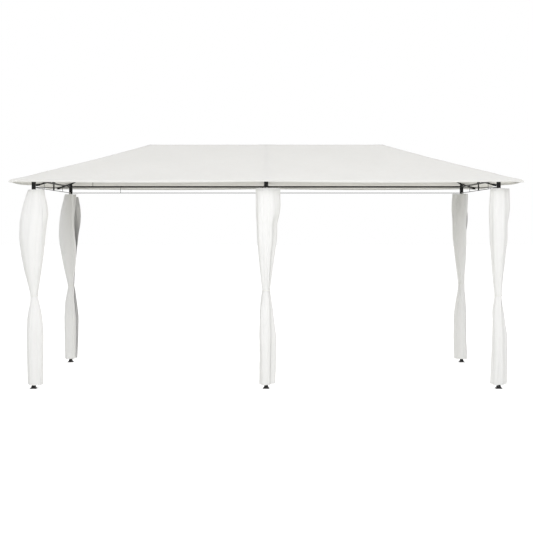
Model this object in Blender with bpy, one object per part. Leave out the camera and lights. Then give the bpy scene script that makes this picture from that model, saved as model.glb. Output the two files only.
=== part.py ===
"""Garden gazebo: a steel frame on six posts, a hipped cloth canopy and six tied curtains.

Metres, +Z up. The origin lies on the ground under the middle of the canopy, +X runs along
the ridge and the long sides face -Y (front) and +Y (back).
"""

import math

import bmesh
import bpy
from mathutils import Matrix, Vector

# Canopy
CANOPY_LENGTH = 6.00
CANOPY_WIDTH = 2.98
RIDGE_TOP = 2.988
EAVE_FOLD = 2.470
HEM_DEPTH = 0.021
LONG_EAVE_SAG = 0.012
SHORT_EAVE_SAG = 0.004
CLOTH = 0.003
HALF_LENGTH = CANOPY_LENGTH / 2
HALF_WIDTH = CANOPY_WIDTH / 2
RIDGE_HALF = HALF_LENGTH - HALF_WIDTH
ROOF_SLOPE = (RIDGE_TOP - EAVE_FOLD) / HALF_WIDTH
ROOF_COSINE = math.cos(math.atan(ROOF_SLOPE))

# Posts and feet
OVERHANG = 0.237
POST_X = HALF_LENGTH - OVERHANG
POST_Y = HALF_WIDTH - OVERHANG
POST_SIZE = 0.042
POST_WALL = 0.002
POST_CORNER = 0.004
POST_INNER_CORNER = 0.002
POST_TOP = 2.487
POST_PLATE = 0.004
FOOT_HEIGHT = 0.030
FOOT_WIDTH = 0.076
FOOT_RIM = 0.004
SPIGOT_HEIGHT = 0.045

# Eave rails
RAIL_RADIUS = 0.010
RAIL_Z = 2.476
ROD_RADIUS = 0.004
ROD_Z = 2.388
UPRIGHT_RADIUS = 0.003
MIDDLE_UPRIGHT_RADIUS = 0.009
END_PLATE = 0.003
END_PLATE_WIDTH = 0.016
PLATE_MARGIN = 0.001
UPRIGHT_SPIN = math.radians(8)
LEFT_BAY_UPRIGHT_X = -2.06

# Roof tubes and the hubs that join them
RAFTER_RADIUS = 0.010
RAFTER_END_RADIUS = 0.014
RAFTER_END_LENGTH = 0.045
COLLAR_STEP = 0.001
CORNER_TIP_RUN = 0.0165
FLAT_TIP_RUN = 0.0085
RAFTER_OVER_POST = 2.514
ARM_BEND = 0.08
SLEEVE_RADIUS = 0.013
SLEEVE_START = 0.010
SLEEVE_REACH = 0.080
HUB_RADIUS = 0.036
HUB_HEIGHT = 0.027
TUBE_INSERTION = 0.040
SADDLE_PLATE = 0.004
SADDLE_LENGTH = 0.036
SADDLE_TOP = 2.519

# Curtains and ties
CURTAIN_TOP = ROD_Z - ROD_RADIUS - 0.0003
CURTAIN_BOTTOM = 0.047
CHANNEL_SIZE = 0.050
CURTAIN_SIDES = 24
WAIST_HALF_BAND = 0.014
TIE_HALF_HEIGHT = 0.012
TIE_THICKNESS = 0.003

GAP = 0.0003
HUB_Z = RIDGE_TOP - (SLEEVE_RADIUS + CLOTH + GAP) / ROOF_COSINE
RAFTER_PITCH = (HUB_Z - RAFTER_OVER_POST) / POST_Y

# Each curtain: the height of its tie, then how far it reaches left and right of its post, at
# the UPPER_LEVELS, at the tie and at the LOWER_LEVELS.
UPPER_LEVELS = (CURTAIN_TOP, 2.21, 1.95, 1.60, 1.33)
LOWER_LEVELS = (0.88, 0.52, CURTAIN_BOTTOM)
CURTAINS = {
    "front_left": (
        1.10,
        ((0.072, 0.126), (0.116, 0.156), (0.168, 0.150), (0.149, 0.117), (0.092, 0.080)),
        (0.038, 0.046),
        ((0.072, 0.094), (0.084, 0.116), (0.070, 0.113)),
    ),
    "front_middle": (
        1.165,
        ((0.124, 0.170), (0.122, 0.168), (0.113, 0.131), (0.094, 0.105), (0.066, 0.066)),
        (0.045, 0.043),
        ((0.075, 0.084), (0.078, 0.114), (0.080, 0.102)),
    ),
    "front_right": (
        1.105,
        ((0.104, 0.130), (0.111, 0.137), (0.105, 0.106), (0.089, 0.083), (0.070, 0.054)),
        (0.047, 0.034),
        ((0.073, 0.060), (0.077, 0.100), (0.098, 0.091)),
    ),
    "back_left": (
        1.08,
        ((0.086, 0.100), (0.120, 0.122), (0.160, 0.130), (0.147, 0.086), (0.096, 0.063)),
        (0.040, 0.046),
        ((0.074, 0.078), (0.087, 0.106), (0.077, 0.088)),
    ),
    "back_middle": (
        1.10,
        ((0.118, 0.120), (0.130, 0.128), (0.120, 0.118), (0.098, 0.094), (0.068, 0.066)),
        (0.044, 0.043),
        ((0.080, 0.080), (0.098, 0.104), (0.092, 0.096)),
    ),
    "back_right": (
        1.11,
        ((0.128, 0.084), (0.141, 0.086), (0.128, 0.087), (0.107, 0.058), (0.081, 0.047)),
        (0.048, 0.038),
        ((0.078, 0.056), (0.115, 0.077), (0.106, 0.080)),
    ),
}

# How far the curtains reach outward and inward from the posts, at the same levels: a corner one
# hangs from two rods that meet, a middle one from two rods in line.
CORNER_UPPER_DEPTHS = ((0.064, 0.130), (0.090, 0.148), (0.114, 0.140), (0.108, 0.112), (0.078, 0.074))
CORNER_LOWER_DEPTHS = ((0.082, 0.086), (0.098, 0.106), (0.090, 0.098))
MIDDLE_UPPER_DEPTHS = ((0.052, 0.052), (0.070, 0.072), (0.084, 0.088), (0.080, 0.082), (0.060, 0.060))
MIDDLE_LOWER_DEPTHS = ((0.074, 0.076), (0.088, 0.092), (0.086, 0.088))
WAIST_DEPTH = (0.043, 0.043)

POSTS = {
    f"{row}_{place}": Vector((x, y, 0))
    for row, y in (("front", -POST_Y), ("back", POST_Y))
    for place, x in (("left", -POST_X), ("middle", 0.0), ("right", POST_X))
}


def clear_scene():
    for old in list(bpy.data.objects):
        bpy.data.objects.remove(old)


def material(name, colour, roughness, metallic=0.0):
    made = bpy.data.materials.new(name)
    made.use_nodes = True
    shader = made.node_tree.nodes["Principled BSDF"]
    shader.inputs["Base Color"].default_value = (*colour, 1.0)
    shader.inputs["Roughness"].default_value = roughness
    shader.inputs["Metallic"].default_value = metallic
    return made


def place_mesh(name, shape, finish):
    """An object from a bmesh, which is freed."""
    bmesh.ops.recalc_face_normals(shape, faces=shape.faces)
    mesh = bpy.data.meshes.new(name)
    shape.to_mesh(mesh)
    shape.free()
    made = bpy.data.objects.new(name, mesh)
    bpy.context.scene.collection.objects.link(made)
    if finish:
        mesh.materials.append(finish)
    return made


def shade_round(made, sharp_angle=40):
    made.data.shade_smooth()
    made.data.set_sharp_from_angle(angle=math.radians(sharp_angle))


def bar(name, start, end, radius, sides=12, finish=None, spin=0.0):
    """A round bar between two points, with flat ends, spun about its own axis."""
    run = end - start
    turn = run.to_track_quat("Z", "Y").to_matrix().to_4x4() @ Matrix.Rotation(spin, 4, "Z")
    shape = bmesh.new()
    bmesh.ops.create_cone(
        shape,
        cap_ends=True,
        segments=sides,
        radius1=radius,
        radius2=radius,
        depth=run.length,
        matrix=Matrix.Translation((start + end) / 2) @ turn,
    )
    return place_mesh(name, shape, finish)


def box(name, centre, size, turn=0.0, finish=None):
    """A box of a given size, turned about the vertical through its centre."""
    shape = bmesh.new()
    place = Matrix.Translation(centre) @ Matrix.Rotation(turn, 4, "Z")
    bmesh.ops.create_cube(shape, size=1.0, matrix=place @ Matrix.Diagonal((*size, 1.0)))
    return place_mesh(name, shape, finish)


def combine(made, tools, operation):
    """Adds the tools to a piece, or cuts them out of it. The tools stay as hidden guides."""
    for tool in tools:
        step = made.modifiers.new(operation.title(), "BOOLEAN")
        step.operation = operation
        step.solver = "EXACT"
        step.object = tool
        tool.hide_render = True
        tool.display_type = "WIRE"


def loft(name, rings, finish, round_trip=False):
    """A closed skin through rings of points. It ends in flat caps, or returns to the first ring."""
    shape = bmesh.new()
    loops = [[shape.verts.new(point) for point in ring] for ring in rings]
    pairs = list(zip(loops, loops[1:]))
    if round_trip:
        pairs.append((loops[-1], loops[0]))
    else:
        shape.faces.new(loops[0])
        shape.faces.new(loops[-1])
    count = len(loops[0])
    for low, high in pairs:
        for i in range(count):
            j = (i + 1) % count
            shape.faces.new((low[i], low[j], high[j], high[i]))
    return place_mesh(name, shape, finish)


def square_ring(width, corner, height, centre=Vector((0, 0, 0)), arc_steps=2):
    """A square with rounded corners, as points at one height."""
    points = []
    reach = width / 2 - corner
    for quarter in range(4):
        start = quarter * math.pi / 2
        middle = Vector((math.cos(start + math.pi / 4), math.sin(start + math.pi / 4), 0))
        middle = middle * reach * math.sqrt(2)
        for step in range(arc_steps + 1):
            angle = start + step / arc_steps * math.pi / 2
            offset = Vector((math.cos(angle), math.sin(angle), 0)) * corner
            points.append(centre + middle + offset + Vector((0, 0, height)))
    return points


def roof_height(run):
    """The canopy's top at a plan distance in from its eave."""
    return EAVE_FOLD + ROOF_SLOPE * run


def rafter_height(run, tip_run):
    """The middle of a rafter: a flatter arm outside the posts, a bend, then the roof's pitch."""
    tip_depth = (RAFTER_END_RADIUS + CLOTH + GAP) / ROOF_COSINE
    tip_z = roof_height(tip_run) - tip_depth
    arm_slope = (RAFTER_OVER_POST - tip_z) / (OVERHANG - tip_run)
    past_bend = min(max((run - OVERHANG) / ARM_BEND, 0.0), 1.0)
    arm = RAFTER_OVER_POST + arm_slope * (run - OVERHANG)
    upper = HUB_Z - RAFTER_PITCH * (HALF_WIDTH - run)
    return arm + (upper - arm) * past_bend * past_bend * (3 - 2 * past_bend)


def make_foot(name, post, finish):
    """A black shoe: a square base that flares out under the post, and a plug up inside it."""
    neck = POST_SIZE + FOOT_RIM
    plug = POST_SIZE - 2 * POST_WALL - 2 * GAP
    flare = FOOT_WIDTH - neck
    profile = [(FOOT_WIDTH, 0.0), (FOOT_WIDTH, FOOT_RIM)]
    for step in (0.25, 0.5, 0.75, 1.0):
        height = FOOT_RIM + (FOOT_HEIGHT - GAP - FOOT_RIM) * step
        profile.append((neck + flare * (1 - step) ** 2, height))
    profile.append((plug, FOOT_HEIGHT - GAP))
    profile.append((plug, FOOT_HEIGHT + SPIGOT_HEIGHT))
    rings = [square_ring(width, POST_CORNER, height, post) for width, height in profile]
    made = loft(name, rings, finish)
    shade_round(made)
    return made


def saddle(name, centre, direction, base_z, plate_size, finish):
    """A plate with two cheeks, which hold a rafter that runs along direction."""
    turn = math.atan2(direction.y, direction.x)
    plate_centre = Vector((centre.x, centre.y, base_z + POST_PLATE / 2))
    pieces = [box(f"{name}_plate", plate_centre, (*plate_size, POST_PLATE), 0.0, finish)]
    across = Vector((-math.sin(turn), math.cos(turn), 0))
    foot = base_z + POST_PLATE / 2
    for side in (-1, 1):
        offset = across * side * (RAFTER_RADIUS + GAP + SADDLE_PLATE / 2)
        middle = Vector((centre.x, centre.y, (foot + SADDLE_TOP) / 2)) + offset
        size = (SADDLE_LENGTH, SADDLE_PLATE, SADDLE_TOP - foot)
        pieces.append(box(f"{name}_cheek_{side}", middle, size, turn, finish))
    return pieces


def make_post(name, post, direction, finish):
    """A square steel tube, closed on top by the plate of its rafter saddle."""
    inner = POST_SIZE - 2 * POST_WALL
    rings = [
        square_ring(POST_SIZE, POST_CORNER, FOOT_HEIGHT, post),
        square_ring(POST_SIZE, POST_CORNER, POST_TOP, post),
        square_ring(inner, POST_INNER_CORNER, POST_TOP, post),
        square_ring(inner, POST_INNER_CORNER, FOOT_HEIGHT, post),
    ]
    made = loft(name, rings, finish, round_trip=True)
    plate = (POST_SIZE - POST_WALL, POST_SIZE - POST_WALL)
    pieces = saddle(name, post, direction, POST_TOP - POST_PLATE / 2, plate, finish)
    combine(made, pieces, "UNION")
    shade_round(made)
    return made


def make_rail(name, start, end, finish, uprights=(), middle=None):
    """The frame between two posts: a round rail, a rod under it, end plates and uprights."""
    along = (end - start).normalized()
    turn = math.atan2(along.y, along.x)
    clear = POST_SIZE / 2 + GAP
    first = start + along * (clear + END_PLATE / 2)
    last = end - along * (clear + END_PLATE / 2)
    up = Vector((0, 0, 1))
    made = bar(name, first + up * RAIL_Z, last + up * RAIL_Z, RAIL_RADIUS, 12, finish)
    tools = [bar(f"{name}_rod", first + up * ROD_Z, last + up * ROD_Z, ROD_RADIUS, 8)]
    low = ROD_Z - ROD_RADIUS - PLATE_MARGIN
    high = RAIL_Z + RAIL_RADIUS - 2 * PLATE_MARGIN
    for place, label in ((first, "start"), (last, "end")):
        size = (END_PLATE, END_PLATE_WIDTH, high - low)
        tools.append(box(f"{name}_{label}", place + up * (low + high) / 2, size, turn))
    for count, place in enumerate(uprights):
        bottom, top = place + up * ROD_Z, place + up * RAIL_Z
        label = f"{name}_upright_{count}"
        tools.append(bar(label, bottom, top, UPRIGHT_RADIUS, 6, None, UPRIGHT_SPIN))
    if middle is not None:
        bottom, top = middle + up * low, middle + up * RAIL_Z
        label = f"{name}_middle"
        tools.append(bar(label, bottom, top, MIDDLE_UPRIGHT_RADIUS, 12, None, UPRIGHT_SPIN))
        inward = Vector((1, 0, 0))
        plate = (SADDLE_LENGTH, 2 * (RAFTER_RADIUS + GAP + SADDLE_PLATE))
        base = RAIL_Z + RAIL_RADIUS - POST_PLATE / 2
        tools += saddle(f"{name}_saddle", middle, inward, base, plate, None)
    combine(made, tools, "UNION")
    shade_round(made)
    return made


def make_rafter(name, eave, ridge, tip_run, finish):
    """A bent tube from just inside the hem, over its saddle and up into a hub's sleeve."""
    plan = (ridge - eave) / HALF_WIDTH
    end_run = HALF_WIDTH - TUBE_INSERTION / plan.length
    thick_run = tip_run + RAFTER_END_LENGTH / plan.length
    stations = [(tip_run, RAFTER_END_RADIUS), (thick_run, RAFTER_END_RADIUS)]
    stations.append((thick_run + COLLAR_STEP, RAFTER_RADIUS))
    for share in (0.0, 0.25, 0.5, 0.75, 1.0):
        stations.append((OVERHANG + ARM_BEND * share, RAFTER_RADIUS))
    stations.append((end_run, RAFTER_RADIUS))
    curve = bpy.data.curves.new(name, "CURVE")
    curve.dimensions = "3D"
    curve.bevel_depth = RAFTER_RADIUS
    curve.bevel_resolution = 4
    curve.use_fill_caps = True
    spline = curve.splines.new("POLY")
    spline.points.add(len(stations) - 1)
    for point, (run, radius) in zip(spline.points, stations):
        place = eave + plan * run
        point.co = (place.x, place.y, rafter_height(run, tip_run), 1.0)
        point.radius = radius / RAFTER_RADIUS
    curve.materials.append(finish)
    made = bpy.data.objects.new(name, curve)
    bpy.context.scene.collection.objects.link(made)
    return made


def make_hub(name, centre, directions, finish):
    """A drum with a sleeve for each roof tube that meets in it."""
    base = centre - Vector((0, 0, HUB_HEIGHT))
    made = bar(name, base, centre, HUB_RADIUS, 24, finish)
    sleeves = []
    bores = []
    for count, direction in enumerate(directions):
        way = direction.normalized()
        start, mouth = centre + way * SLEEVE_START, centre + way * SLEEVE_REACH
        sleeves.append(bar(f"{name}_sleeve_{count}", start, mouth, SLEEVE_RADIUS, 16))
        floor = centre + way * (TUBE_INSERTION - 2 * GAP)
        out = centre + way * (SLEEVE_REACH + SLEEVE_START)
        bores.append(bar(f"{name}_bore_{count}", floor, out, RAFTER_RADIUS + 2 * GAP, 16))
    combine(made, sleeves, "UNION")
    combine(made, bores, "DIFFERENCE")
    shade_round(made)
    return made


def make_canopy(finish):
    """One sheet over the rafters, folded down at the eaves into a narrow hem."""
    shape = bmesh.new()
    for sx in (-1, 1):
        for sy in (-1, 1):
            corner = Vector((sx * HALF_LENGTH, sy * HALF_WIDTH, 0))
            ridge_end = Vector((sx * RIDGE_HALF, 0, 0))
            side_middle = Vector((0, sy * HALF_WIDTH, 0))
            end_middle = Vector((sx * HALF_LENGTH, 0, 0))
            ridge_middle = Vector((0, 0, 0))
            panels = (
                (side_middle, ridge_middle, LONG_EAVE_SAG, 6),
                (end_middle, ridge_end, SHORT_EAVE_SAG, 4),
            )
            for eave_end, top_end, sag, columns in panels:
                grid = bmesh.ops.create_grid(shape, x_segments=columns, y_segments=5, size=0.5)
                for vert in grid["verts"]:
                    u, v = vert.co.x + 0.5, vert.co.y + 0.5
                    low = corner.lerp(eave_end, u)
                    high = ridge_end.lerp(top_end, u)
                    vert.co = low.lerp(high, v)
                    drop = sag * math.sin(math.pi * u) * (1 - v)
                    vert.co.z = roof_height(v * HALF_WIDTH) - drop
    bmesh.ops.remove_doubles(shape, verts=shape.verts, dist=0.0001)
    bmesh.ops.dissolve_degenerate(shape, edges=shape.edges, dist=0.0001)
    bmesh.ops.recalc_face_normals(shape, faces=shape.faces)
    eave = [edge for edge in shape.edges if edge.is_boundary]
    hem = bmesh.ops.extrude_edge_only(shape, edges=eave)
    lowered = [item for item in hem["geom"] if isinstance(item, bmesh.types.BMVert)]
    bmesh.ops.translate(shape, verts=lowered, vec=(0, 0, -HEM_DEPTH))
    made = place_mesh("canopy", shape, finish)
    skin = made.modifiers.new("Thickness", "SOLIDIFY")
    skin.thickness = CLOTH
    skin.offset = -1.0
    skin.use_even_offset = True
    skin.use_rim = True
    shade_round(made, 20)
    return made


def curtain_ring(post, widths, depths, height, grow=0.0):
    """The outline of a gathered curtain at one height: an oval with a reach for each side."""
    left, right = widths
    outward, inward = depths
    facing = math.copysign(1, post.y)
    points = []
    for step in range(CURTAIN_SIDES):
        angle = 2 * math.pi * step / CURTAIN_SIDES
        across, along = math.cos(angle), math.sin(angle)
        width = right if across > 0 else left
        depth = outward if along * facing > 0 else inward
        offset = Vector(((width + grow) * across, (depth + grow) * along, height))
        points.append(post + offset)
    return points


def channel_ring(post, height):
    """The square room that a curtain leaves round its post, with as many points as the outside."""
    half = CHANNEL_SIZE / 2
    points = []
    for step in range(CURTAIN_SIDES):
        angle = 2 * math.pi * step / CURTAIN_SIDES
        c, s = math.cos(angle), math.sin(angle)
        reach = half / max(abs(c), abs(s))
        points.append(Vector((post.x + reach * c, post.y + reach * s, height)))
    return points


def make_curtain(name, post, plan, finish):
    """A gathered curtain as one closed form, with room down its middle for the post."""
    tie_z, upper, waist, lower = plan
    corner = abs(post.x) > CHANNEL_SIZE
    upper_depths = CORNER_UPPER_DEPTHS if corner else MIDDLE_UPPER_DEPTHS
    lower_depths = CORNER_LOWER_DEPTHS if corner else MIDDLE_LOWER_DEPTHS
    rows = list(zip(UPPER_LEVELS, upper, upper_depths))
    rows.append((tie_z + WAIST_HALF_BAND, waist, WAIST_DEPTH))
    rows.append((tie_z - WAIST_HALF_BAND, waist, WAIST_DEPTH))
    rows += list(zip(LOWER_LEVELS, lower, lower_depths))
    rings = [curtain_ring(post, widths, depths, height) for height, widths, depths in rows]
    rings += [channel_ring(post, CURTAIN_BOTTOM), channel_ring(post, CURTAIN_TOP)]
    made = loft(name, rings, finish, round_trip=True)
    shade_round(made, 60)
    return made


def make_tie(name, post, plan, finish):
    """A cloth band round the narrowest place of a curtain."""
    tie_z, _, waist, _ = plan
    low, high = tie_z - TIE_HALF_HEIGHT, tie_z + TIE_HALF_HEIGHT
    rings = [
        curtain_ring(post, waist, WAIST_DEPTH, low, GAP * 2),
        curtain_ring(post, waist, WAIST_DEPTH, high, GAP * 2),
        curtain_ring(post, waist, WAIST_DEPTH, high, TIE_THICKNESS),
        curtain_ring(post, waist, WAIST_DEPTH, low, TIE_THICKNESS),
    ]
    made = loft(name, rings, finish, round_trip=True)
    shade_round(made, 60)
    return made


def make_frame(steel, plastic):
    for place, post in POSTS.items():
        corner = Vector((math.copysign(1, post.x), math.copysign(1, post.y), 0))
        direction = corner if post.x else Vector((0, 1, 0))
        make_post(f"post_{place}", post, direction, steel)
        make_foot(f"foot_{place}", post, plastic)
    for row in ("front", "back"):
        left, middle, right = (POSTS[f"{row}_{place}"] for place in ("left", "middle", "right"))
        upright = Vector((LEFT_BAY_UPRIGHT_X, left.y, 0))
        make_rail(f"eave_rail_{row}_left", left, middle, steel, (upright,))
        make_rail(f"eave_rail_{row}_right", middle, right, steel)
    for side in ("left", "right"):
        front, back = POSTS[f"front_{side}"], POSTS[f"back_{side}"]
        quarters = (front.lerp(back, 0.25), front.lerp(back, 0.75))
        make_rail(f"eave_rail_{side}_end", front, back, steel, quarters, front.lerp(back, 0.5))


def make_roof_frame(steel):
    hub_lift = Vector((0, 0, HUB_Z))
    for side, sx in (("left", -1), ("right", 1)):
        ridge = Vector((sx * RIDGE_HALF, 0, 0))
        ways = [Vector((-sx, 0, 0)), Vector((sx, 0, -RAFTER_PITCH))]
        for row, sy in (("front", -1), ("back", 1)):
            corner = Vector((sx * HALF_LENGTH, sy * HALF_WIDTH, 0))
            make_rafter(f"hip_rafter_{row}_{side}", corner, ridge, CORNER_TIP_RUN, steel)
            ways.append(Vector((sx, sy, -RAFTER_PITCH)))
        end = Vector((sx * HALF_LENGTH, 0, 0))
        make_rafter(f"end_rafter_{side}", end, ridge, FLAT_TIP_RUN, steel)
        make_hub(f"ridge_hub_{side}", ridge + hub_lift, ways, steel)
        inner = Vector((sx * TUBE_INSERTION, 0, HUB_Z))
        outer = Vector((sx * (RIDGE_HALF - TUBE_INSERTION), 0, HUB_Z))
        tube = bar(f"ridge_tube_{side}", inner, outer, RAFTER_RADIUS, 12, steel)
        shade_round(tube)
    ways = [Vector((-1, 0, 0)), Vector((1, 0, 0))]
    for row, sy in (("front", -1), ("back", 1)):
        ways.append(Vector((0, sy, -RAFTER_PITCH)))
        eave = Vector((0, sy * HALF_WIDTH, 0))
        make_rafter(f"side_rafter_{row}", eave, Vector((0, 0, 0)), FLAT_TIP_RUN, steel)
    make_hub("ridge_hub_middle", hub_lift, ways, steel)


def make_cloth(canopy_cloth, curtain_cloth, tie_cloth):
    make_canopy(canopy_cloth)
    for place, plan in CURTAINS.items():
        make_curtain(f"curtain_{place}", POSTS[place], plan, curtain_cloth)
        make_tie(f"tie_{place}", POSTS[place], plan, tie_cloth)


def main():
    clear_scene()
    steel = material("black_steel", (0.012, 0.012, 0.013), 0.45, 0.3)
    plastic = material("black_plastic", (0.010, 0.010, 0.010), 0.6)
    canopy_cloth = material("canopy_cloth", (0.82, 0.82, 0.79), 0.85)
    curtain_cloth = material("curtain_cloth", (0.88, 0.88, 0.86), 0.9)
    tie_cloth = material("tie_cloth", (0.84, 0.84, 0.82), 0.9)
    make_frame(steel, plastic)
    make_roof_frame(steel)
    make_cloth(canopy_cloth, curtain_cloth, tie_cloth)


main()
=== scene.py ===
# %% [markdown]
# # A garden gazebo with a hipped cloth canopy and tied curtains
# The steel frame comes finished from CAD. This lesson dresses it: powder coat on the tubes, one
# canopy, six curtains gathered round the posts, the straps that tie them, and the small hardware
# that holds a real gazebo together. Each step says what the piece is on the real object, how it
# could be made, and why this way was chosen.

# %% Load the frame and look at what it holds
import functools
import math
import random

import bpy
import numpy as np
from mathutils import Matrix, Vector


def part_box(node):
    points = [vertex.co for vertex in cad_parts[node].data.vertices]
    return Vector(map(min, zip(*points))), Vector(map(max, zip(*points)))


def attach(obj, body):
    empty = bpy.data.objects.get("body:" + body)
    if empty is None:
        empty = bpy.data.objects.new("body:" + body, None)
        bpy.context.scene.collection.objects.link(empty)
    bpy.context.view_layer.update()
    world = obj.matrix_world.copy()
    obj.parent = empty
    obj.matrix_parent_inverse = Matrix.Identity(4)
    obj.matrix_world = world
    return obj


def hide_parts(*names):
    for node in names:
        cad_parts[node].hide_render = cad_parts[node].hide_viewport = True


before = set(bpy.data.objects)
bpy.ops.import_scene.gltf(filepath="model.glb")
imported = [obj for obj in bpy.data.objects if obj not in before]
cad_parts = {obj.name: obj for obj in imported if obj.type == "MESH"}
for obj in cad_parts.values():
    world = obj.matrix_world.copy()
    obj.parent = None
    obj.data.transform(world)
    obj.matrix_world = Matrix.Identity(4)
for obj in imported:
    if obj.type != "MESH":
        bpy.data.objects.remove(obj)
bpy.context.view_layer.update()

# %% [markdown]
# ## Sizes that every step shares
# The CAD nodes know where everything stands, so a post's middle is read from its foot's box and
# the canopy's reach from its own box. Only a few sizes of the tubes are repeated here by name.

# %% Posts, eaves and rods
ROWS = ("front", "back")
PLACES = ("left", "middle", "right")
POSTS = {}
for name in [f"{row}_{place}" for row in ROWS for place in PLACES]:
    low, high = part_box(f"foot_{name}")
    POSTS[name] = Vector(((low.x + high.x) / 2, (low.y + high.y) / 2, 0))

HALF_LENGTH, HALF_WIDTH, RIDGE_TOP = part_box("canopy")[1]
EAVE_FOLD = 2.470
ROOF_SLOPE = (RIDGE_TOP - EAVE_FOLD) / HALF_WIDTH
POST_HALF = 0.021
ROD_Z = 2.388
ROD_RADIUS = 0.004
RAIL_Z = 2.476
RAIL_RADIUS = 0.010
UP, DOWN = Vector((0, 0, 1)), Vector((0, 0, -1))
print("posts", {name: tuple(round(v, 3) for v in post) for name, post in POSTS.items()})

# %% [markdown]
# ## Small helpers for modelling
# Operators act on whatever is selected, so every step starts by clearing the selection. A
# finished piece keeps its place in its mesh and its object at the origin, as the CAD nodes do,
# so a pattern on Object coordinates stays where it belongs.

# %% Helpers: select, edit, finish, copy


def select(*pieces):
    """Selects these pieces alone, in object mode. With none, it only clears the selection."""
    if bpy.context.object and bpy.context.object.mode != "OBJECT":
        bpy.ops.object.mode_set(mode="OBJECT")
    bpy.ops.object.select_all(action="DESELECT")
    for piece in pieces:
        piece.select_set(True)
    if pieces:
        bpy.context.view_layer.objects.active = pieces[0]


def edit_all(piece):
    """Edit mode, with the whole piece selected."""
    select(piece)
    bpy.ops.object.mode_set(mode="EDIT")
    bpy.ops.mesh.select_all(action="SELECT")


def settle(piece, name):
    """Leaves edit mode, puts the piece's place into its mesh and names both."""
    select(piece)
    bpy.ops.object.transform_apply(location=True, rotation=True, scale=True)
    piece.name = name
    piece.data.name = name
    return piece


def join(pieces, name):
    """One piece out of several."""
    select(*pieces)
    bpy.ops.object.join()
    return settle(bpy.context.object, name)


def smooth(piece, degrees):
    """Smooth shading, except over edges that turn more than this."""
    select(piece)
    bpy.ops.object.shade_smooth_by_angle(angle=math.radians(degrees))


def thicken(piece, thickness, offset=0.0, even=False):
    """Gives a sheet its thickness."""
    select(piece)
    wall = piece.modifiers.new("Solidify", "SOLIDIFY")
    wall.thickness = thickness
    wall.offset = offset
    wall.use_even_offset = even
    bpy.ops.object.modifier_apply(modifier=wall.name)


def face_outwards(piece):
    """Turns the front of every face outwards."""
    edit_all(piece)
    bpy.ops.mesh.normals_make_consistent(inside=False)
    select(piece)


def copy_to(piece, matrix):
    """A copy with its own mesh, moved by a matrix that is then put into the mesh."""
    twin = piece.copy()
    twin.data = piece.data.copy()
    bpy.context.scene.collection.objects.link(twin)
    twin.data.transform(matrix)
    return twin


def hand_over(piece, finish, replaces=()):
    """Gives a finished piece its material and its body."""
    piece.data.materials.clear()
    piece.data.materials.append(finish)
    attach(piece, "root")
    if replaces:
        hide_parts(*replaces)
    print(f"{piece.name}: {len(piece.data.polygons)} faces")


# %% [markdown]
# ## Small helpers for materials
# A finish is a tree of nodes, and most of its nodes only need their sockets filled in: with
# another node's output, or with a plain value. These helpers do that, so a finish reads as a
# short list of what it is made of.

# %% Helpers for node trees


def connect(tree, node, values):
    """Fills a node's input sockets, by name or number, with outputs or plain values."""
    for key, value in values.items():
        if isinstance(value, bpy.types.NodeSocket):
            tree.links.new(value, node.inputs[key])
        else:
            node.inputs[key].default_value = value


def add_node(tree, kind, values=None, **settings):
    """A shader node with its settings and inputs. Gives its outputs."""
    node = tree.nodes.new("ShaderNode" + kind)
    for key, value in settings.items():
        setattr(node, key, value)
    connect(tree, node, values or {})
    return node.outputs


def maths(tree, operation, *values):
    return add_node(tree, "Math", dict(enumerate(values)), operation=operation)[0]


def times(tree, first, second):
    return maths(tree, "MULTIPLY", first, second)


def minus(tree, first, second):
    return maths(tree, "SUBTRACT", first, second)


def axes(tree, vector):
    """The X, Y and Z of a vector."""
    return add_node(tree, "SeparateXYZ", {0: vector})


def object_place(tree):
    return add_node(tree, "TexCoord")["Object"]


def noise(tree, vector, scale, detail=3.0, roughness=0.5):
    values = {"Vector": vector, "Scale": scale, "Detail": detail, "Roughness": roughness}
    return add_node(tree, "TexNoise", values)["Fac"]


def spread(tree, value, low, high, new_low, new_high):
    """Maps a value from one range to another and clamps it."""
    return add_node(tree, "MapRange", dict(enumerate((value, low, high, new_low, new_high))))[0]


def blend_colours(tree, factor, first, second):
    return add_node(tree, "Mix", {"Factor": factor, "A": first, "B": second}, data_type="RGBA")["Result"]


def bump(tree, height, strength, distance, **normal):
    values = {"Strength": strength, "Distance": distance, "Height": height, **normal}
    return add_node(tree, "Bump", values)["Normal"]


def new_group(name, inputs, outputs):
    """A node group of numbers. An input without a value is a vector. Gives the group, what it
    is given, and the node that takes its results."""
    group = bpy.data.node_groups.new(name, "ShaderNodeTree")
    for label, value in inputs.items():
        kind = "NodeSocketVector" if value is None else "NodeSocketFloat"
        socket = group.interface.new_socket(label, in_out="INPUT", socket_type=kind)
        if value is not None:
            socket.default_value = value
    for label in outputs:
        group.interface.new_socket(label, in_out="OUTPUT", socket_type="NodeSocketFloat")
    print("group", name)
    return group, group.nodes.new("NodeGroupInput").outputs, group.nodes.new("NodeGroupOutput")


def use_group(tree, group, values):
    return add_node(tree, "Group", values, node_tree=group)


def new_finish(name):
    """A material with its tree and its Principled shader."""
    finish = bpy.data.materials.new(name)
    finish.use_nodes = True
    print("finish", name)
    return finish, finish.node_tree, finish.node_tree.nodes["Principled BSDF"]


# %% [markdown]
# ## Camera, floor and light
# The photograph was taken with a level camera, square on to the long side, about as high as a
# tall person's eyes. A level camera keeps the posts upright, and a small vertical shift brings
# the gazebo into the middle of the frame. The floor is pale and the light is soft from all
# sides, as in a studio with white walls.

# %% The camera
FRAME_PIXELS = 533
SENSOR = 36.0
FOCAL_PIXELS = 1111.0
CAMERA_PLACE = (0.0, -14.456, 1.971)
HORIZON_ROW = 222.5
SIDE_SHIFT = 0.0006

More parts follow.
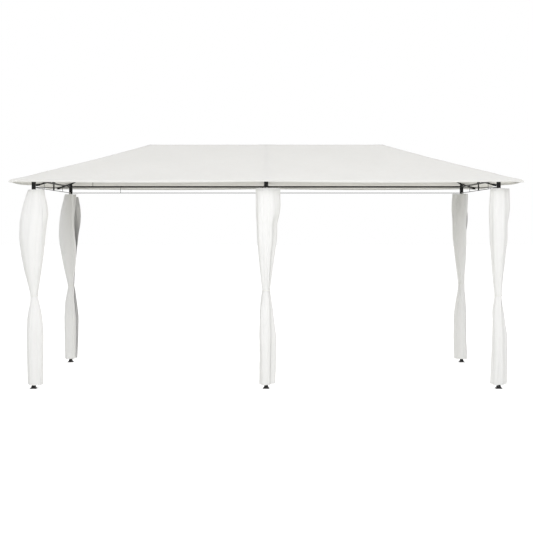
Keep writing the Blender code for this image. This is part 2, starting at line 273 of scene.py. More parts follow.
lens = bpy.data.cameras.new("camera")
lens.sensor_width = SENSOR
lens.lens = FOCAL_PIXELS / FRAME_PIXELS * SENSOR
lens.shift_y = (HORIZON_ROW - FRAME_PIXELS / 2) / FRAME_PIXELS
lens.shift_x = SIDE_SHIFT
camera = bpy.data.objects.new("camera", lens)
camera.location = CAMERA_PLACE
camera.rotation_euler = (math.radians(90), 0, 0)
bpy.context.scene.collection.objects.link(camera)
bpy.context.scene.camera = camera
print("lens", round(lens.lens, 2), "mm, shift", round(lens.shift_y, 4))

FLOOR_SIZE = 160.0
FLOOR_DROP = 0.0006
WHITE = (1.0, 1.0, 1.0, 1)
FLOOR_SEEN = (0.80, 0.80, 0.80, 1)
FLOOR_BOUNCE = (0.80, 0.795, 0.745, 1)
FLOOR_GLOW = 0.50

select()
bpy.ops.mesh.primitive_plane_add(size=FLOOR_SIZE, location=(0, 0, -FLOOR_DROP))
floor = settle(bpy.context.object, "floor")
floor_finish, tree, shader = new_finish("studio_floor")
connect(tree, shader, {
    "Base Color": FLOOR_SEEN, "Roughness": 0.9, "Emission Color": WHITE, "Emission Strength": FLOOR_GLOW,
})
bounce = add_node(tree, "BsdfDiffuse", {"Color": FLOOR_BOUNCE})["BSDF"]
seen = add_node(tree, "LightPath")["Is Camera Ray"]
either = add_node(tree, "MixShader", {"Fac": seen, 1: bounce, 2: shader.outputs["BSDF"]})["Shader"]
connect(tree, tree.nodes["Material Output"], {"Surface": either})
floor.data.materials.append(floor_finish)

# %% The soft light: a white room and two large panels
ROOM_LIGHT = 0.815
ROOM_SEEN = 1.0
PANELS = {
    "front_panel": {"place": (0.3, -8.5, 5.2), "aim": (0, 0, 1.4), "size": (9.0, 4.0), "power": 358.0},
    "back_panel": {"place": (2.5, 9.0, 4.0), "aim": (0, 0, 1.2), "size": (5.0, 5.0), "power": 430.0},
}
world = bpy.data.worlds.new("white_room")
world.use_nodes = True
room = world.node_tree
seen = add_node(room, "LightPath")["Is Camera Ray"]
level = add_node(room, "MapRange", {"Value": seen, "To Min": ROOM_LIGHT, "To Max": ROOM_SEEN})["Result"]
connect(room, room.nodes["Background"], {"Color": WHITE, "Strength": level})
bpy.context.scene.world = world
bpy.context.scene.view_settings.view_transform = "Standard"

for name, panel in PANELS.items():
    light = bpy.data.lights.new(name, "AREA")
    light.shape = "RECTANGLE"
    light.size, light.size_y = panel["size"]
    light.energy = panel["power"]
    lamp = bpy.data.objects.new(name, light)
    lamp.location = panel["place"]
    towards = Vector(panel["aim"]) - Vector(panel["place"])
    lamp.rotation_euler = towards.to_track_quat("-Z", "Y").to_euler()
    bpy.context.scene.collection.objects.link(lamp)
print(len(PANELS), "panels and a white room")

# %% [markdown]
# ## Effects that several finishes share
# A weave, a slow mottle, a row of stitches and the peel of a powder coat each become a node
# group with named inputs and outputs. The shader stays in the material, so each finish keeps
# its own gloss, and the group only hands over heights and masks.

# %% The plain weave: threads go over and under, so the height is a product of two waves
SLUB_STRETCH = (6.0, 260.0, 1.0)
weave, given, result = new_group(
    "plain_weave", {"Place": None, "Threads per metre": 1200.0}, ("Height", "Slub"))
spot = axes(weave, given["Place"])
turn = times(weave, given["Threads per metre"], math.pi)
warp, weft = [maths(weave, "SINE", times(weave, spot[axis], turn)) for axis in ("X", "Y")]
crossing = maths(weave, "MULTIPLY_ADD", times(weave, warp, weft), 0.5, 0.5)
long_way = add_node(weave, "Mapping", {"Vector": given["Place"], "Scale": SLUB_STRETCH})["Vector"]
connect(weave, result, {"Height": crossing, "Slub": noise(weave, long_way, 1.0, 2.0)})

# %% The mottle: a slow cloud over the cloth, and a finer one inside it
mottle, given, result = new_group("cloth_mottle", {"Place": None, "Scale": 1.5}, ("Cloud",))
wide = noise(mottle, given["Place"], given["Scale"], 4.0, 0.55)
fine = noise(mottle, given["Place"], times(mottle, given["Scale"], 9.0), 3.0, 0.6)
both = maths(mottle, "ADD", times(mottle, wide, 0.7), times(mottle, fine, 0.3))
connect(mottle, result, {"Cloud": spread(mottle, both, 0.35, 0.65, 0.0, 1.0)})

# %% The stitches: a dash repeats along a line, and only near it
STITCH_PITCH = 0.0042
STITCH_WIDTH = 0.0009
PUCKER_WIDTH = 0.005
stitches, given, result = new_group("lockstitch", {"Across": 1.0, "Along": 0.0}, ("Thread", "Pucker"))
off_line = maths(stitches, "ABSOLUTE", given["Across"])
on_line = spread(stitches, off_line, STITCH_WIDTH * 0.5, STITCH_WIDTH, 1.0, 0.0)
dash = maths(stitches, "FRACT", maths(stitches, "DIVIDE", given["Along"], STITCH_PITCH))
off_dash = maths(stitches, "ABSOLUTE", minus(stitches, dash, 0.5))
connect(stitches, result, {
    "Thread": times(stitches, on_line, spread(stitches, off_dash, 0.30, 0.42, 1.0, 0.0)),
    "Pucker": spread(stitches, off_line, 0.0, PUCKER_WIDTH, 1.0, 0.0),
})

# %% The powder coat: a fine peel, a slow unevenness and a mask of the edges that rub bare
peel, given, result = new_group(
    "powder_peel", {"Place": None, "Edge width": 0.0015}, ("Height", "Cloud", "Edge"))
rounded = add_node(peel, "Bevel", {"Radius": given["Edge width"]}, samples=4)["Normal"]
flat = add_node(peel, "NewGeometry")["Normal"]
facing = add_node(peel, "VectorMath", {0: rounded, 1: flat}, operation="DOT_PRODUCT")["Value"]
sharp = spread(peel, facing, 0.995, 0.86, 0.0, 1.0)
chips = spread(peel, noise(peel, given["Place"], 90.0, 4.0, 0.7), 0.50, 0.62, 0.0, 1.0)
connect(peel, result, {
    "Height": noise(peel, given["Place"], 620.0, 2.0),
    "Cloud": noise(peel, given["Place"], 5.0, 5.0, 0.6),
    "Edge": times(peel, sharp, chips),
})

# %% [markdown]
# ## The steel's powder coat and the feet's plastic
# The frame is satin black powder coat: nearly black, with a fine orange peel, a little dust on
# what faces up, and grey primer where edges rub. The feet are moulded plastic, flatter and
# greyer, and scuffed where they meet the ground.

# %% Satin black powder coat
COAT_BLACK = (0.0135, 0.0137, 0.0145, 1)
COAT_DUSTY = (0.032, 0.031, 0.030, 1)
COAT_RUBBED = (0.16, 0.16, 0.16, 1)

steel, tree, shader = new_finish("powder_coated_steel")
coat = use_group(tree, peel, {"Place": object_place(tree), "Edge width": 0.0015})
facing_up = axes(tree, add_node(tree, "NewGeometry")["Normal"])["Z"]
dust = times(tree, spread(tree, facing_up, 0.2, 1.0, 0.0, 0.8), coat["Cloud"])
dusty = blend_colours(tree, dust, COAT_BLACK, COAT_DUSTY)
gloss = spread(tree, coat["Cloud"], 0.3, 0.7, 0.44, 0.58)
connect(tree, shader, {
    "Base Color": blend_colours(tree, times(tree, coat["Edge"], 0.55), dusty, COAT_RUBBED),
    "Roughness": maths(tree, "ADD", gloss, times(tree, dust, 0.25)),
    "Normal": bump(tree, coat["Height"], 0.22, 0.0004),
    "Specular IOR Level": 0.25,
})

# %% Black moulded plastic for the feet and the plugs
PLASTIC_BLACK = (0.016, 0.016, 0.017, 1)
PLASTIC_SCUFFED = (0.075, 0.072, 0.068, 1)
SCUFF_HEIGHT = 0.02

plastic, tree, shader = new_finish("moulded_plastic")
place = object_place(tree)
coat = use_group(tree, peel, {"Place": place, "Edge width": 0.001})
near_ground = spread(tree, axes(tree, place)["Z"], 0.0, SCUFF_HEIGHT, 0.8, 0.0)
scuffed = times(tree, near_ground, coat["Cloud"])
scuffed = maths(tree, "MAXIMUM", scuffed, times(tree, coat["Edge"], 0.5))
connect(tree, shader, {
    "Base Color": blend_colours(tree, scuffed, PLASTIC_BLACK, PLASTIC_SCUFFED),
    "Roughness": spread(tree, coat["Cloud"], 0.3, 0.7, 0.55, 0.72),
    "Normal": bump(tree, noise(tree, place, 1400.0, 3.0, 0.7), 0.25, 0.0003),
})

# %% Bare zinc for bolts, nuts, washers and the hubs' screws
ZINC = (0.42, 0.42, 0.43, 1)
ZINC_DULL = (0.24, 0.24, 0.25, 1)

zinc, tree, shader = new_finish("zinc_plate")
place = object_place(tree)
cloud = noise(tree, place, 160.0, 4.0, 0.6)
connect(tree, shader, {
    "Base Color": blend_colours(tree, cloud, ZINC, ZINC_DULL),
    "Roughness": spread(tree, cloud, 0.3, 0.7, 0.30, 0.48),
    "Normal": bump(tree, noise(tree, place, 900.0, 2.0), 0.15, 0.0002),
    "Metallic": 1.0,
})

# %% Paint the CAD nodes that stay
painted = []
for name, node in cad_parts.items():
    if name.startswith(("canopy", "curtain_", "tie_")):
        continue
    finish = plastic if name.startswith("foot_") else steel
    for slot in node.material_slots:
        slot.material = finish
    if not node.material_slots:
        node.data.materials.append(finish)
    painted.append(name)
print(len(painted), "nodes painted")

# %% [markdown]
# ## The three cloths
# The canopy is coated polyester, close woven and dull. The curtains are lighter and softer, and
# the straps are the same cloth folded double. All three read a UV map that is in metres of real
# cloth, so a thread has the same size everywhere and the weave follows every fold.

# %% A cloth finish from its colours, thread count and hems
CLOTH_MAP = "cloth_metres"
HEM_MAP = "hem_metres"
WHITEST = 0.95


def map_place(tree, name):
    return add_node(tree, "UVMap", uv_map=name)["UV"]


def cloth_finish(name, colour, shade, threads, weave_strength, glow, stitch_lines, painted_light_mask=None):
    """Woven cloth. stitch_lines makes (across, along) pairs of sockets from the tree, and the last
    argument masks where painted light makes the cloth lighter: on the canopy, its double hem."""
    finish, tree, shader = new_finish(name)
    place = map_place(tree, CLOTH_MAP)
    thread = use_group(tree, weave, {"Place": place, "Threads per metre": threads})
    cloud = use_group(tree, mottle, {"Place": place, "Scale": 1.7})["Cloud"]
    seam, pucker = 0.0, 0.0
    for across, along in stitch_lines(tree):
        row = use_group(tree, stitches, {"Across": across, "Along": along})
        seam = maths(tree, "MAXIMUM", row["Thread"], seam)
        pucker = maths(tree, "MAXIMUM", row["Pucker"], pucker)
    tone = maths(tree, "ADD", times(tree, cloud, 0.6), times(tree, thread["Slub"], 0.4))
    base = blend_colours(tree, tone, colour + (1,), shade + (1,))
    # Painted light: where the mask is set, the colour is made lighter, as a lit band along the hem.
    if painted_light_mask:
        painted_light_colour = tuple(min(c * 1.09, WHITEST) for c in colour)
        base = blend_colours(tree, painted_light_mask(tree), base, painted_light_colour + (1,))
    # Painted shade: beside each stitch line the colour darkens, as shadow in the puckered cloth.
    pucker_shade = times(tree, minus(tree, pucker, seam), 0.22)
    relief = maths(tree, "MULTIPLY_ADD", thread["Slub"], 0.6, thread["Height"])
    woven = bump(tree, relief, weave_strength, 0.0002)
    seam_height = minus(tree, times(tree, seam, 1.2), pucker)
    connect(tree, shader, {
        "Base Color": blend_colours(tree, pucker_shade, base, tuple(c * 0.72 for c in shade) + (1,)),
        "Roughness": spread(tree, thread["Slub"], 0.3, 0.7, 0.80, 0.92),
        "Normal": bump(tree, seam_height, 0.45, 0.0006, Normal=woven),
        "Subsurface Weight": glow,
        "Subsurface Radius": (1.0, 0.98, 0.93),
        "Subsurface Scale": 0.004,
        "Sheen Weight": 0.06,
        "Sheen Roughness": 0.5,
        "Specular IOR Level": 0.25,
    })
    return finish


# %% Canopy cloth: stitched beside each hip and twice along the double hem, which gets painted light
LONG_EAVE_SAG = 0.012
HEM_STITCHES = (0.004, 0.017)
HIP_STITCHES = (0.004, 0.013)


def canopy_stitch_lines(tree):
    """Distances from the hips come from Object coordinates, because hips run at 45 degrees."""
    point = axes(tree, object_place(tree))
    from_end = minus(tree, HALF_LENGTH, maths(tree, "ABSOLUTE", point["X"]))
    from_side = minus(tree, HALF_WIDTH, maths(tree, "ABSOLUTE", point["Y"]))
    off_hip = minus(tree, from_end, from_side)
    around = maths(tree, "ADD", point["X"], point["Y"])
    below_fold = minus(tree, EAVE_FOLD, point["Z"])
    rows = [(minus(tree, off_hip, line * math.sqrt(2)), point["X"]) for line in HIP_STITCHES]
    return rows + [(minus(tree, below_fold, line), around) for line in HEM_STITCHES]


def canopy_hem_painted_light(tree):
    """The hem is the only part of the canopy below the fold over the eaves: the mask of its painted
    light.
    """
    height = axes(tree, object_place(tree))["Z"]
    return spread(tree, height, EAVE_FOLD - LONG_EAVE_SAG, EAVE_FOLD - 0.002, 1.0, 0.0)


canopy_cloth = cloth_finish(
    "canopy_polyester", (0.715, 0.709, 0.692), (0.675, 0.668, 0.650), 1100.0, 0.20, 0.42,
    canopy_stitch_lines, canopy_hem_painted_light,
)

# %% The curtains' cloth, with hems on all four sides, and the straps', stitched along both edges
FLAT_WIDTH = 0.66
FLAT_LENGTH = 2.36
SIDE_HEM = 0.014
CROSS_STITCHES = (0.022, FLAT_LENGTH - 0.006, FLAT_LENGTH - 0.028)
STRAP_STITCHES = 0.0075


def curtain_stitch_lines(tree):
    """A second map holds how far a point is from the sheet's side edges and its bottom."""
    edge = axes(tree, map_place(tree, HEM_MAP))
    cloth = axes(tree, map_place(tree, CLOTH_MAP))
    rows = [(minus(tree, edge["X"], SIDE_HEM), cloth["Y"])]
    return rows + [(minus(tree, edge["Y"], height), cloth["X"]) for height in CROSS_STITCHES]


def strap_stitch_lines(tree):
    cloth = axes(tree, map_place(tree, CLOTH_MAP))
    return [(minus(tree, maths(tree, "ABSOLUTE", cloth["Y"]), STRAP_STITCHES), cloth["X"])]


curtain_cloth = cloth_finish(
    "curtain_polyester", (0.846, 0.846, 0.850), (0.820, 0.820, 0.823), 1500.0, 0.14, 0.20,
    curtain_stitch_lines,
)
strap_cloth = cloth_finish(
    "strap_cloth", (0.86, 0.86, 0.85), (0.80, 0.80, 0.785), 1100.0, 0.25, 0.10,
    strap_stitch_lines,
)

# %% [markdown]
# ## A sheet of cloth from a grid
# Every cloth starts as a flat grid, as cloth starts on the table. Its vertices are then moved
# by a function of where they were there, and the same function gives the UV map in metres.

# %% The grid helper


def write_map(mesh, name, values):
    """A UV map from one pair of numbers per vertex."""
    layer = mesh.uv_layers.get(name) or mesh.uv_layers.new(name=name)
    corners = np.empty(len(mesh.loops), dtype=np.int32)
    mesh.loops.foreach_get("vertex_index", corners)
    layer.data.foreach_set("uv", np.asarray(values, dtype=np.float32)[corners].ravel())


def laid(x, y, z, along, across):
    """Places in space with their places on the flat cloth, as cloth_grid takes them."""
    return np.stack([x, y, z], axis=1), {CLOTH_MAP: np.stack([along, across], axis=1)}


def cloth_grid(name, columns, rows, shape):
    """A grid whose vertices go where shape(u, v) says. shape gives places and maps."""
    select()
    bpy.ops.mesh.primitive_grid_add(x_subdivisions=columns, y_subdivisions=rows, size=1.0)
    piece = bpy.context.object
    flat = np.empty(len(piece.data.vertices) * 3)
    piece.data.vertices.foreach_get("co", flat)
    u, v = flat[0::3] + 0.5, flat[1::3] + 0.5
    places, maps = shape(u, v)
    piece.data.vertices.foreach_set("co", np.ascontiguousarray(places, dtype=np.float64).ravel())
    while piece.data.uv_layers:
        piece.data.uv_layers.remove(piece.data.uv_layers[0])
    for label, values in maps.items():
        write_map(piece.data, label, values)
    piece.data.update()
    return settle(piece, name)


# %% [markdown]
# ## The canopy
# A real canopy is sewn from four panels into one cloth, stretched over the rafters and folded
# into a narrow hem. It could be a subdivided box, but then its seams and sag would have nowhere
# to live. Here each panel is a grid whose lines follow the cut of the cloth, the four are
# joined at the hips, and one height function gives them the pitch, the soft fold over the
# tubes, the sag between them and the fine creases that run out of the corners.

# %% The curves that the cloth's height is made of
LONG_PANEL_SAG = 0.016
END_PANEL_SAG = 0.008
SHORT_EAVE_SAG = 0.015
# How far the cloth lies below the straight pitch, in millimetres, by the run in from the eave:
# it is held up by the rafters' thick ends, lies down on the tubes, and rises over the hubs.
PITCH_DIPS = (
    (0.0, 0.0), (0.03, 1.0), (0.055, 1.6), (0.11, 7.0), (0.20, 9.0), (0.30, 6.5), (0.50, 10.0),
    (0.70, 12.5), (0.92, 13.5), (1.14, 9.8), (1.31, 7.0), (1.37, 5.6), (1.43, 1.6), (1.47, 0.3),
)
MILLIMETRE = 0.001
WAVE_SEED = 11
WAVE_NUMBER = 7
WAVE_REACH = 0.5


def soft_step(value, low, high):
    t = np.clip((value - low) / (high - low), 0.0, 1.0)
    return t * t * (3 - 2 * t)


def slow_waves(x, y):
    """A smooth, repeatable unevenness of about one unit."""
    draw = random.Random(WAVE_SEED)
    total = np.zeros_like(x)
    for _ in range(WAVE_NUMBER):
        heading = draw.uniform(0, math.tau)
        rate = math.tau / (WAVE_REACH * draw.uniform(0.5, 1.6))
        phase = draw.uniform(0, math.tau)
        total += np.sin((x * math.cos(heading) + y * math.sin(heading)) * rate + phase)
    return total / WAVE_NUMBER


def pitch_dip(run):
    """The dips table, read with soft corners."""
    runs, dips = zip(*PITCH_DIPS)
    total = np.zeros_like(run)
    for shift in (-0.02, -0.01, 0.0, 0.01, 0.02):
        total += np.interp(run + shift * np.clip(run / 0.1, 0, 1), runs, dips)
    return total / 5 * MILLIMETRE


def eave_sag(ratio, on_side):
    """How far the eave hangs, by how far along it is from its middle rafter to the corner."""
    ratio = np.clip(ratio, 0.0, 1.0)
    long_side = LONG_EAVE_SAG * np.sin(math.pi * ratio)
    return np.where(on_side, long_side, SHORT_EAVE_SAG * np.sin(math.pi * ratio ** 1.5))


# %% How high the cloth lies over each point of the plan
FOLD_RADIUS = 0.007
RIDGE_DIP = 0.002
DIP_EASING = 0.35
CREASE_DEPTH = 0.0022
CREASE_REACH = 0.42
CREASE_RATE = 22.0
UNEVENNESS = 0.0018
SEAM_BAND = 0.016
SEAM_EDGE = 0.002
SEAM_LIFT = 0.0009


def roof_surface(x, y):
    """The cloth's top over a point of the plan: pitch, soft folds, sag, creases and seams."""
    across = np.sqrt(y * y + FOLD_RADIUS ** 2)
    from_end = HALF_LENGTH - np.abs(x)
    from_side = HALF_WIDTH - np.minimum(across, HALF_WIDTH)
    half_gap = (from_end - from_side) / 2
    run = (from_end + from_side) / 2 - np.sqrt(half_gap ** 2 + (FOLD_RADIUS / 2) ** 2)
    run = np.maximum(run, 0.0)
    z = EAVE_FOLD + ROOF_SLOPE * run
    # The ridge dips a little between the hubs.
    between_hubs = soft_step(np.abs(x), 0.09, 0.14) * (1 - soft_step(np.abs(x), 1.37, 1.42))
    z = z - RIDGE_DIP * between_hubs * (1 - soft_step(across, 0.02, 0.20))
    # Between two rafters each panel sags, most at its middle, and so does its eave.
    on_side = from_side <= from_end
    bay = np.maximum(np.where(on_side, HALF_LENGTH, HALF_WIDTH) - run, 0.01)
    off_hip = np.abs(from_end - from_side)
    share = np.clip(off_hip / bay, 0.0, 1.0)
    z = z - pitch_dip(run) * (1 - DIP_EASING * share)
    up = np.clip(run / HALF_WIDTH, 0.0, 1.0)
    z = z - eave_sag(1 - share, on_side) * (1 - up) ** 1.3
    panel = np.where(on_side, LONG_PANEL_SAG, END_PANEL_SAG) * np.clip(bay / 1.6, 0.0, 1.0)
    z = z - panel * np.sin(math.pi * share) ** 0.9 * np.sin(math.pi * up ** 0.8) ** 0.9
    # Creases fan out from the corners, and the cloth is a little uneven, clear of the tubes.
    clear = soft_step(off_hip, 0.01, 0.16) * soft_step(bay - off_hip, 0.02, 0.16)
    clear = clear * soft_step(across, 0.02, 0.14)
    from_edge = np.maximum(HALF_WIDTH - np.abs(y), 0.0)
    reach = np.hypot(from_end, from_edge)
    bearing = np.arctan2(from_edge, from_end + 1e-6)
    creases = np.cos(bearing * CREASE_RATE) * np.exp(-reach / CREASE_REACH) * soft_step(reach, 0.03, 0.16)
    z = z + CREASE_DEPTH * creases * clear + UNEVENNESS * slow_waves(x, y) * clear
    # The seam's doubled cloth makes a low, flat band on one side of the hip.
    off_seam = off_hip / math.sqrt(2)
    seam = soft_step(off_seam, 0.0, SEAM_EDGE) - soft_step(off_seam, SEAM_BAND - SEAM_EDGE, SEAM_BAND)
    return z + SEAM_LIFT * seam * on_side


# %% Rows from the ridge down to the hem's inner edge, and columns crowded at the hips
ROOF_ROWS = 46
CROWDING = 1.15
LEAST_STEP = 0.004
LAST_RUN = 0.008
NEAR_RIDGE = (0.0, 0.005, 0.011, 0.02)
HEM_DEPTH = 0.021
HEM_THICKNESS = 0.0022
# (run in from the eave, drop below the fold), down the hem, round its fold and up behind it
HEM_ROWS = [
    (0.0030, -0.0004), (0.0010, -0.0016), (0.0, -0.0040), (0.0, -0.0090), (0.0, -0.0140),
    (0.0, -0.0190), (0.0002, -0.0204), (0.0011, -0.0210), (0.0020, -0.0204),
    (HEM_THICKNESS, -0.0190), (HEM_THICKNESS, -0.0120), (HEM_THICKNESS, -0.0045),
]
HIP_COLUMNS = (0.0, 0.003, 0.006, 0.0195, 0.0235, 0.030)
CORNER_PINCH = 0.45
CORNER_REACH = 0.020
CORNER_PULL = 0.008
CORNER_DROP = 0.0065
CORNER_DROP_REACH = 0.075


def roof_rows():
    """(run in from the eave, drop below the fold) for each row, from the ridge to the hem."""
    near_ridge = [HALF_WIDTH - off for off in NEAR_RIDGE]
    runs = [HALF_WIDTH * (1 - i / ROOF_ROWS) ** CROWDING for i in range(ROOF_ROWS + 1)]
    runs = [run for run in runs if LAST_RUN < run < near_ridge[-1] - LEAST_STEP]
    return [(run, None) for run in near_ridge + runs + [LAST_RUN]] + HEM_ROWS


def panel_shape(facing, per_half):
    """A function that lays one panel of the canopy. facing is (0, -1), (0, 1), (-1, 0) or (1, 0)."""
    rows = roof_rows()
    is_side = facing[0] == 0
    half_eave = HALF_LENGTH if is_side else HALF_WIDTH

    def shape(u, v):
        row = np.rint(v * (len(rows) - 1)).astype(int)
        runs = np.array([run for run, _ in rows])[row]
        drops = np.array([drop or 0.0 for _, drop in rows])[row]
        on_hem = np.array([drop is not None for _, drop in rows])[row]
        column = np.rint(u * 2 * per_half).astype(int) - per_half
        from_middle = np.abs(column)
        half = np.maximum(half_eave - runs, 0.0)
        crowd = np.minimum(1.0, half / (4 * HIP_COLUMNS[-1]))
        from_hip = per_half - from_middle
        near = np.array(HIP_COLUMNS)[np.minimum(from_hip, len(HIP_COLUMNS) - 1)] * crowd
        inner = (half - HIP_COLUMNS[-1] * crowd) * (from_middle / (per_half - len(HIP_COLUMNS) + 1))
        along = np.sign(column) * np.where(from_hip < len(HIP_COLUMNS), half - near, inner)
        if is_side:
            x, y = along, facing[1] * (HALF_WIDTH - runs)
        else:
            x, y = facing[0] * (HALF_LENGTH - runs), along
        sag = eave_sag(np.abs(along) / half_eave, is_side)
        to_corner = half_eave - np.abs(along)
        deeper = 1 + CORNER_DROP / HEM_DEPTH * np.exp(-(to_corner / CORNER_DROP_REACH) ** 4)
        z = np.where(on_hem, EAVE_FOLD - sag + drops * deeper, roof_surface(x, y))
        at_tip = np.exp(-(to_corner / CORNER_REACH) ** 2) * np.exp(-(runs / 0.008) ** 2)
        hem_bottom = EAVE_FOLD - sag - HEM_DEPTH * deeper
        z = hem_bottom + (z - hem_bottom) * (1 - CORNER_PINCH * at_tip)
        x = x + np.sign(x) * CORNER_PULL * at_tip
        y = y + np.sign(y) * CORNER_PULL * at_tip
        cloth_down = np.where(on_hem, drops, runs / math.cos(math.atan(ROOF_SLOPE)))
        return laid(x, y, z, along, cloth_down)

    return shape, len(rows) - 1


# %% Sew the four panels and give the canopy its thickness and finish
CANOPY_THICKNESS = 0.0008
SEWN_WITHIN = 0.00005
PANEL_COLUMNS = {(0, -1): 58, (0, 1): 58, (-1, 0): 34, (1, 0): 34}

panels = []
for facing, per_half in PANEL_COLUMNS.items():
    shape, row_count = panel_shape(facing, per_half)
    panels.append(cloth_grid("panel", 2 * per_half, row_count, shape))
canopy = join(panels, "canopy_sheet")
edit_all(canopy)
bpy.ops.mesh.remove_doubles(threshold=SEWN_WITHIN)
face_outwards(canopy)
print("canopy before its thickness:", len(canopy.data.vertices), "vertices")
thicken(canopy, CANOPY_THICKNESS, offset=-1.0, even=True)
smooth(canopy, 30)
hand_over(canopy, canopy_cloth, replaces=("canopy",))

# %% [markdown]
# ## The curtains
# Each post carries two half curtains, hung by loops from the thin rods and tied round the post.
# The near one wraps the side that faces the photographer and the far one wraps the side behind
# it, and on the right the far one's edge stands out past the near one. A cloth simulation could
# drape them, but it would lose the outlines that the photograph shows. So each half starts as a
# flat grid and is gathered: each post has its outline at sixteen heights, measured in
# the photograph where the post shows, and the folds turn in from it.

# %% How far each curtain reaches left and right of its post, in millimetres, by height
CURTAIN_TOP = 2.3834
CURTAIN_BOTTOM = 0.0475
AT_TIE = None        # stands for the post's own tie, which has its own height on each post
HEIGHTS = (
    CURTAIN_TOP, 2.30, 2.16, 2.06, 1.96, 1.78, 1.60, 1.40, 1.21, AT_TIE,
    1.02, 0.93, 0.83, 0.64, 0.35, CURTAIN_BOTTOM,
)
# For each post: the height of its tie, then (left, right) reaches at the heights above.
OUTLINES = {
    "front_left": (1.104, (
        (54, 124), (88, 134), (129, 165), (152, 172), (166, 153), (169, 132), (149, 118), (111, 90),
        (62, 62), (35, 46), (40, 65), (60, 87), (76, 101), (84, 115), (77, 113), (70, 113))),
    "front_middle": (1.165, (
        (125, 170), (123, 168), (123, 171), (121, 158), (113, 131), (109, 130), (94, 105), (74, 75),
        (52, 50), (42, 40), (58, 63), (74, 82), (81, 95), (84, 119), (79, 119), (84, 108))),
    "front_right": (1.105, (
        (97, 130), (101, 135), (113, 139), (112, 129), (107, 111), (103, 111), (91, 91), (76, 66),
        (59, 42), (46, 34), (58, 42), (72, 58), (74, 78), (76, 107), (86, 110), (98, 102))),
    "back_left": (1.082, (
        (78, 90), (98, 108), (132, 131), (149, 135), (160, 130), (166, 100), (147, 84), (110, 68),
        (70, 52), (38, 46), (45, 58), (63, 70), (79, 84), (88, 105), (85, 101), (77, 86))),
    "back_middle": (1.10, (
        (118, 120), (124, 124), (130, 128), (128, 126), (120, 118), (112, 108), (98, 94), (78, 74),
        (56, 54), (44, 43), (54, 54), (68, 66), (80, 80), (96, 100), (98, 104), (92, 96))),
    "back_right": (1.112, (
        (128, 82), (134, 80), (141, 84), (134, 91), (128, 88), (125, 58), (107, 56), (84, 48),
        (60, 37), (46, 36), (54, 38), (69, 47), (87, 58), (112, 74), (116, 72), (106, 81))),
}
# How far they reach (outward, inward) across the view, for corner posts and for middle ones.
CORNER_DEPTHS = (
    (62, 128), (72, 138), (92, 150), (104, 150), (114, 141), (114, 128), (108, 112), (88, 86),
    (58, 56), (42, 42), (54, 54), (68, 68), (82, 84), (94, 100), (96, 104), (90, 97))
MIDDLE_DEPTHS = (
    (48, 48), (58, 60), (72, 74), (80, 82), (85, 88), (86, 88), (80, 82), (66, 66),
    (50, 50), (42, 42), (48, 48), (58, 60), (70, 72), (82, 86), (88, 92), (86, 88))
print(len(OUTLINES), "curtains,", len(HEIGHTS), "heights each")

# %% How the two halves of each curtain lie to each other
# How far the far half stands out past the near one on the right, at the same heights. Below
# nought, the near half hides the far one there.
LEAVES = {
    "front_left": (4, 4, 5, 5, 4, 4, 4, 4, 4, 3, 3, 4, 4, 4, 4, 4),
    "front_middle": (80, 66, 52, 46, 48, 48, 45, 28, 14, 7, 20, 32, 46, 60, 66, 60),
    "front_right": (58, 60, 58, 54, 42, 44, 38, 30, 8, 5, 12, 26, 44, 60, 62, 54),
    "back_left": (12, 34, 66, 82, 78, 36, 4, -3, 8, 8, 14, 24, 32, 36, 32, 22),
    "back_middle": (40, 44, 40, 30, 14, 8, 6, 4, 4, 3, 4, 6, 10, 14, 14, 12),
    "back_right": (-3, -3, 8, 26, 29, 4, -3, -3, -3, -3, -3, -3, 2, 6, 6, 4),
}
# Where each half runs, in degrees round the post from +X. Where the far half starts below
# nought, it lies over the near one.
NEAR_SPAN = (168.0, 377.0)
FAR_END = 196.0
FAR_STARTS = {
    "front_left": -32, "front_middle": -30, "front_right": -22,
    "back_left": 19, "back_middle": -30, "back_right": 19,
}
# How far below the rods the header of each (near, far) half hangs, in metres.
HEADER_DROPS = {
    "front_left": (0.020, 0.020), "front_middle": (0.001, 0.001), "front_right": (0.005, 0.006),
    "back_left": (0.014, 0.050), "back_middle": (0.008, 0.008), "back_right": (0.008, 0.012),
}


def lies_over(post_name, side):
    """Whether this half is a far one whose start lies over the near one."""
    return side == "far" and FAR_STARTS[post_name] < 0


print("over the near half:", [name for name in POSTS if lies_over(name, "far")])

# %% [markdown]
# ## Reading the outlines
# The tables are rows of numbers at a few heights. A little smoothing between them turns the
# steps into the leaf-like edges of hanging cloth. It is done once for each table and kept, as
# every row of every curtain reads it. In plan an outline is an oval whose reach differs on each
# of its four sides, and at a corner post its header is drawn in on the diagonal, where the two
# rods leave at a right angle.

# %% Reaches at a height
NEAR_TUCK = 0.006
FINE_STEPS = 600
BLUR = 17


@functools.lru_cache(maxsize=None)
def softened(values, tie):
    """A table's heights and values at a fine step, with its corners smoothed."""
    heights = np.array([tie if height is AT_TIE else height for height in HEIGHTS])
    order = np.argsort(heights)
    fine = np.linspace(CURTAIN_BOTTOM, CURTAIN_TOP, FINE_STEPS)
    table = np.interp(fine, heights[order], np.array(values, float)[order])
    kernel = np.hanning(BLUR)
    padded = np.pad(table, BLUR // 2, mode="edge")
    return fine, np.convolve(padded, kernel / kernel.sum(), mode="valid")


def by_height(values, tie, z):
    """Reads a table of millimetres at a height, as metres."""
    return float(np.interp(z, *softened(values, tie))) * MILLIMETRE


def is_corner(post_name):
    return abs(POSTS[post_name].x) > HALF_LENGTH / 2


def inward_signs(post_name):
    """Which way the middle of the gazebo lies from a post, along x and along y."""
    post = POSTS[post_name]
    x_sign = -math.copysign(1, post.x) if is_corner(post_name) else 0
    return x_sign, -math.copysign(1, post.y)


def reaches_at(post_name, z):
    """The reaches left, right, outward and inward of a curtain at a height."""
    tie, reaches = OUTLINES[post_name]
    depths = CORNER_DEPTHS if is_corner(post_name) else MIDDLE_DEPTHS
    return [by_height(values, tie, z) for values in (*zip(*reaches), *zip(*depths))]


